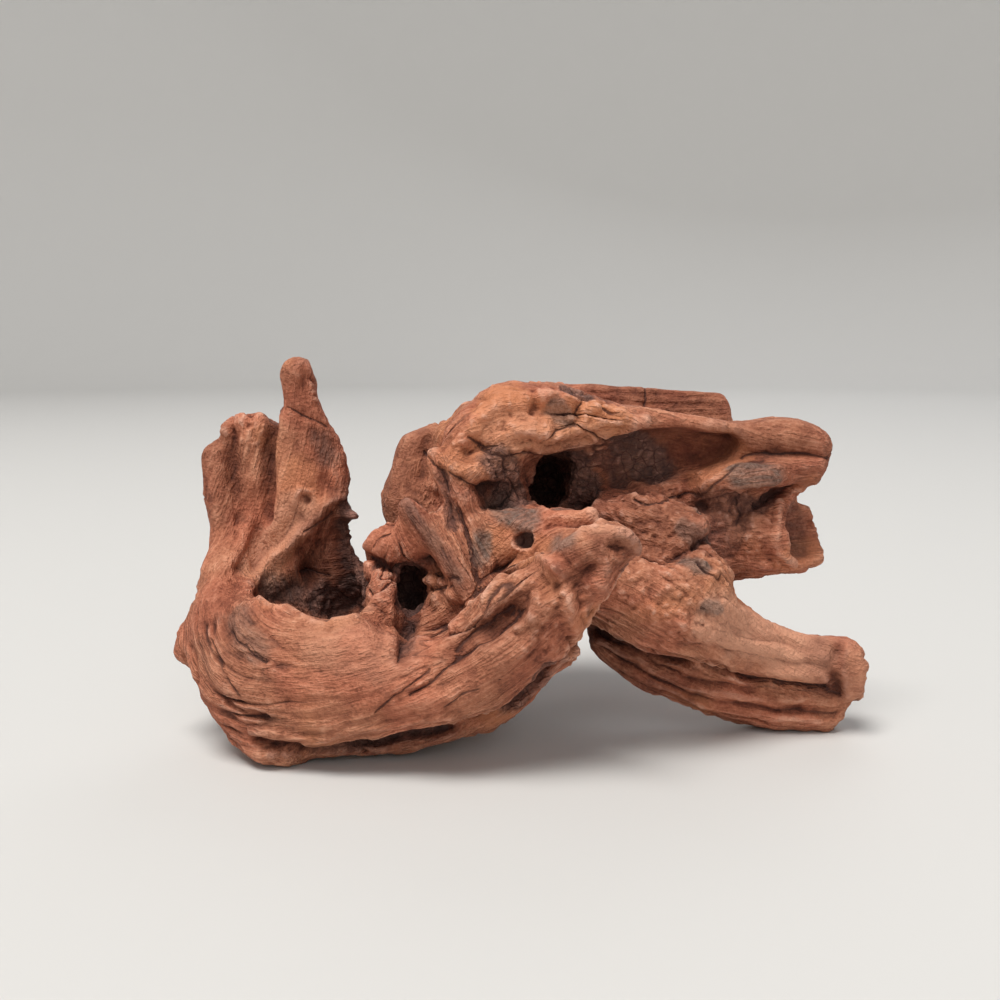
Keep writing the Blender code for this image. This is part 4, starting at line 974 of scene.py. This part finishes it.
def wood_material():
    """Weathered wood. The shares and limits in it are read against the photo."""
    material = bpy.data.materials.new("weathered_wood")
    nodes = Nodes(material)
    times, most, plus, between, line = nodes.times, nodes.most, nodes.plus, nodes.between, nodes.line
    share = nodes.add("ShaderNodeAttribute", attribute_name="share")
    parts = nodes.add("ShaderNodeSeparateColor", {"Color": share.outputs["Color"]}).outputs
    shares = [parts[0], parts[1], parts[2], share.outputs["Alpha"]]

    def along_grain(length, width, detail):
        """Noise drawn out along the grain and blended over the channels, about -0.3 to 0.3."""
        total = None
        for channel in range(CHANNELS):
            grain = nodes.add("ShaderNodeAttribute", attribute_name=f"grain_{channel}").outputs["Vector"]
            scaled = nodes.vector("MULTIPLY", {0: grain, 1: (1 / length, 1 / width, 1 / width)})
            part = times(nodes.math("SUBTRACT", nodes.noise(scaled, 1.0, detail), 0.5), shares[channel])
            total = part if total is None else nodes.math("ADD", total, part)
        return times(total, nodes.value("gain"))

    # Noises, calmer along the grain where the wood is smooth or rough
    plain = most(nodes.value("smooth"), nodes.value("rough"))
    even = plus(1.0, plain, -0.5)
    streak = times(along_grain(*STREAK), even)
    fibre = times(along_grain(*FIBRE), even)
    place = nodes.add("ShaderNodeTexCoord").outputs["Object"]
    area = nodes.noise(place, 1 / (AREA * MM))
    blotch = nodes.noise(place, 1 / (BLOTCH * MM), 3, 0.6)
    speck = nodes.noise(place, 1 / (SPECK * MM))
    sharp, broad, char = nodes.value("sharp"), nodes.value("broad"), nodes.value("char")

    # Bare wood, from its darkest streaks to its palest, with painted shade and light by broad hollows and
    # bulges; its red places; orange and pale wood with painted highlight; worn edges with painted highlight
    tone = plus(plus(0.25, blotch, 0.5), streak, 0.75)
    tone = plus(nodes.math("ADD", tone, -0.15), speck, 0.3)
    tone = plus(tone, fibre, 0.4)
    # Painted shade: the tone falls in broad hollows, and painted light: it rises on broad bulges
    tone = nodes.math("ADD", tone, between(broad, 0.15, 0.85, -0.12, 0.1))
    colour = nodes.ramp(tone, WOOD_TONES)
    colour = nodes.tinted(between(area, 0.38, 0.62), colour, RED_TINT)
    # Warm stains: orange heartwood, and painted highlight on lit tops
    colour = nodes.mix(times(nodes.value("warm"), 0.5), colour, HEARTWOOD_AND_HIGHLIGHT)
    # Pale stains: pale wood, and painted highlight on lit places
    colour = nodes.mix(times(nodes.value("pale"), between(streak, -0.2, 0.1, 0.5, 0.95)), colour, PALE_WOOD_AND_HIGHLIGHT)
    # Worn edges and painted highlight: paler on sharp ridges
    worn_and_highlit = times(between(sharp, 0.57, 0.97), between(blotch, 0.35, 0.6, 0.3, 0.85))
    colour = nodes.mix(worn_and_highlit, colour, WORN_EDGE_AND_HIGHLIGHT)

    # Grey patches, and painted shade in creases, sunk places and places kept from light, and dark stains of
    # dark wood with painted shade
    slate = nodes.mix(between(speck, 0.3, 0.7), *SLATE)
    colour = nodes.mix(times(nodes.value("grey"), between(streak, -0.2, 0.2, 1.0, 0.6)), colour, slate)
    # Painted shade in creases
    colour = nodes.tinted(between(sharp, 0.5, 0.0, 0.0, 0.8), colour, CREASE_SHADE_TINT)
    # Painted shade in sunk places
    colour = nodes.tinted(between(broad, 0.45, -0.1, 0.0, 0.75), colour, SUNK_SHADE_TINT)
    colour = nodes.tinted(between(nodes.value("shade"), 0.30, 0.85, 0.0, 0.75), colour, SHADE_TINT)
    # Dark stains: dark wood, and painted shade where little light falls
    dark = times(nodes.value("dark"), between(blotch, 0.3, 0.6, 0.9, 0.6))
    colour = nodes.tinted(dark, colour, SHADE_AND_DARK_WOOD_TINT)

    # Burnt wood, paler on the edges of its plates, and the fine cracks between them
    burnt = nodes.mix(between(blotch, 0.3, 0.65), *BURNT)
    burnt = nodes.mix(between(sharp, 0.5, 1.0, 0.0, 0.7), burnt, BURNT_EDGE)
    colour = nodes.mix(times(char, between(speck, 0.3, 0.6, 0.92, 0.75)), colour, burnt)
    size, amount = PLATE_WANDER
    wander = nodes.noise(place, 1 / (size * MM), roughness=0.5, output="Color")
    wander = nodes.vector("SCALE", {0: wander, 3: amount * MM})
    plates = nodes.add("ShaderNodeTexVoronoi", {
        "Vector": nodes.vector("ADD", {0: place, 1: wander}), "Scale": 1 / (PLATE * MM),
    }, feature="DISTANCE_TO_EDGE").outputs["Distance"]
    plate_crack = times(between(plates, 0.014, 0.075, 1.0, 0.0), char)
    plate_crack = times(plate_crack, between(blotch, 0.3, 0.55, 0.35, 1.0))

    # Cracks: those of the front view, those along the grain, and thin dark hairs
    marked = times(line(nodes.value("mark"), 0.42), between(nodes.value("mark_share"), 0.2, 0.6))
    cracks = most(marked, times(line(nodes.value("split"), 0.075), nodes.value("split_share")))
    hair = times(line(streak, 0.05), between(blotch, 0.36, 0.58))
    hair = times(hair, between(plain, 0.0, 0.8, 0.5, 0.0))
    colour = nodes.mix(times(most(most(cracks, plate_crack), hair), 0.8), colour, CRACK_COLOUR)

    # Fine relief, lumpier where the wood is rough
    height = plus(times(fibre, 0.7), streak, 1.3)
    lumpy = plus(0.7, nodes.value("rough"), 0.8)
    for noise, amount in ((blotch, lumpy), (speck, 0.6), (hair, -0.2), (cracks, -0.4)):
        height = plus(height, noise, amount)
    bump = nodes.add("ShaderNodeBump", {"Height": height, "Strength": 1.0, "Distance": 1.0 * MM})
    shader = nodes.add("ShaderNodeBsdfPrincipled", {
        "Base Color": colour, "Roughness": between(blotch, 0.3, 0.7, 0.74, 0.92),
        "Normal": bump.outputs["Normal"], "Specular IOR Level": 0.25,
    })
    nodes.add("ShaderNodeOutputMaterial", {"Surface": shader.outputs[0]})
    return material


def floor():
    """A wide round pale floor that rises into a low wall on every side."""
    profile = [(FLOOR_RADIUS, 0.0)]
    for k in range(1, FLOOR_BEND_STEPS + 1):
        angle = k / FLOOR_BEND_STEPS * math.pi / 2
        profile.append((FLOOR_RADIUS + FLOOR_BEND * math.sin(angle), FLOOR_BEND * (1 - math.cos(angle))))
    profile.append((profile[-1][0], FLOOR_WALL))
    turns = [2 * math.pi * k / FLOOR_SIDES for k in range(FLOOR_SIDES)]
    shell = bmesh.new()
    rings = []
    for radius, z in profile:
        rings.append([shell.verts.new((radius * math.cos(turn), radius * math.sin(turn), z)) for turn in turns])
    shell.faces.new(rings[0])
    for low, high in zip(rings, rings[1:]):
        for k in range(FLOOR_SIDES):
            after = (k + 1) % FLOOR_SIDES
            shell.faces.new((low[k], high[k], high[after], low[after]))
    mesh = bpy.data.meshes.new("floor")
    shell.to_mesh(mesh)
    shell.free()
    mesh.shade_smooth()
    material = bpy.data.materials.new("pale_floor")
    material.use_nodes = True
    for name, value in FLOOR_LOOK.items():
        material.node_tree.nodes["Principled BSDF"].inputs[name].default_value = value
    mesh.materials.append(material)
    return placed("floor", mesh)


def light_scene():
    """The soft square lamps and the even light of the studio."""
    for name, place, power, size, colour in LAMPS:
        light = bpy.data.lights.new(name, "AREA")
        light.energy = power
        light.size = size
        light.color = colour
        lamp = placed(name, light)
        lamp.location = place
        lamp.rotation_euler = (AIM - Vector(place)).to_track_quat("-Z", "Y").to_euler()
    world = bpy.data.worlds.new("studio")
    world.use_nodes = True
    for name, value in SKY.items():
        world.node_tree.nodes["Background"].inputs[name].default_value = value
    bpy.context.scene.world = world
    bpy.context.scene.view_settings.view_transform = "Standard"


def camera():
    data = bpy.data.cameras.new("camera")
    data.lens = FOCAL / PICTURE * SENSOR
    data.sensor_width = SENSOR
    data.clip_start = NEAR_CLIP
    obj = placed("camera", data)
    obj.location = EYE
    obj.rotation_euler = Euler((math.pi / 2 - EYE_PITCH, 0, 0))
    bpy.context.scene.camera = obj


def driftwood(solid, cad_box):
    """The one piece: solid's shape with a carved skin, thinned out and kept inside the solid's box."""
    base = joined(solid)
    wood = skin_of(base)
    carved(wood, base, cad_box)
    thin = wood.modifiers.new("thin", "DECIMATE")
    thin.ratio = TRIANGLES / (2 * len(wood.data.polygons))
    applied(wood)
    write(wood.data, np.clip(read(wood.data, "co"), *cad_box))
    wood.data.shade_smooth()
    wood.data.materials.clear()
    wood.data.materials.append(wood_material())
    return wood


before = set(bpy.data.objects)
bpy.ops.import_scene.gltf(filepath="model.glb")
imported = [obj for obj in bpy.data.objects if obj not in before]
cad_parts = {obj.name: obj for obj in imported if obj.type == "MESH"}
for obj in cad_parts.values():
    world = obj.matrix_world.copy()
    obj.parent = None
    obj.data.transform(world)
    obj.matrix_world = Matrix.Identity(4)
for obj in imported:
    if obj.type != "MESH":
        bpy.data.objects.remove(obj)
cad_box = np.array(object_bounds())
camera()
light_scene()
ground = floor()
wood = driftwood(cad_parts["driftwood"], cad_box)
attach(wood, "root")
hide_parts("driftwood")
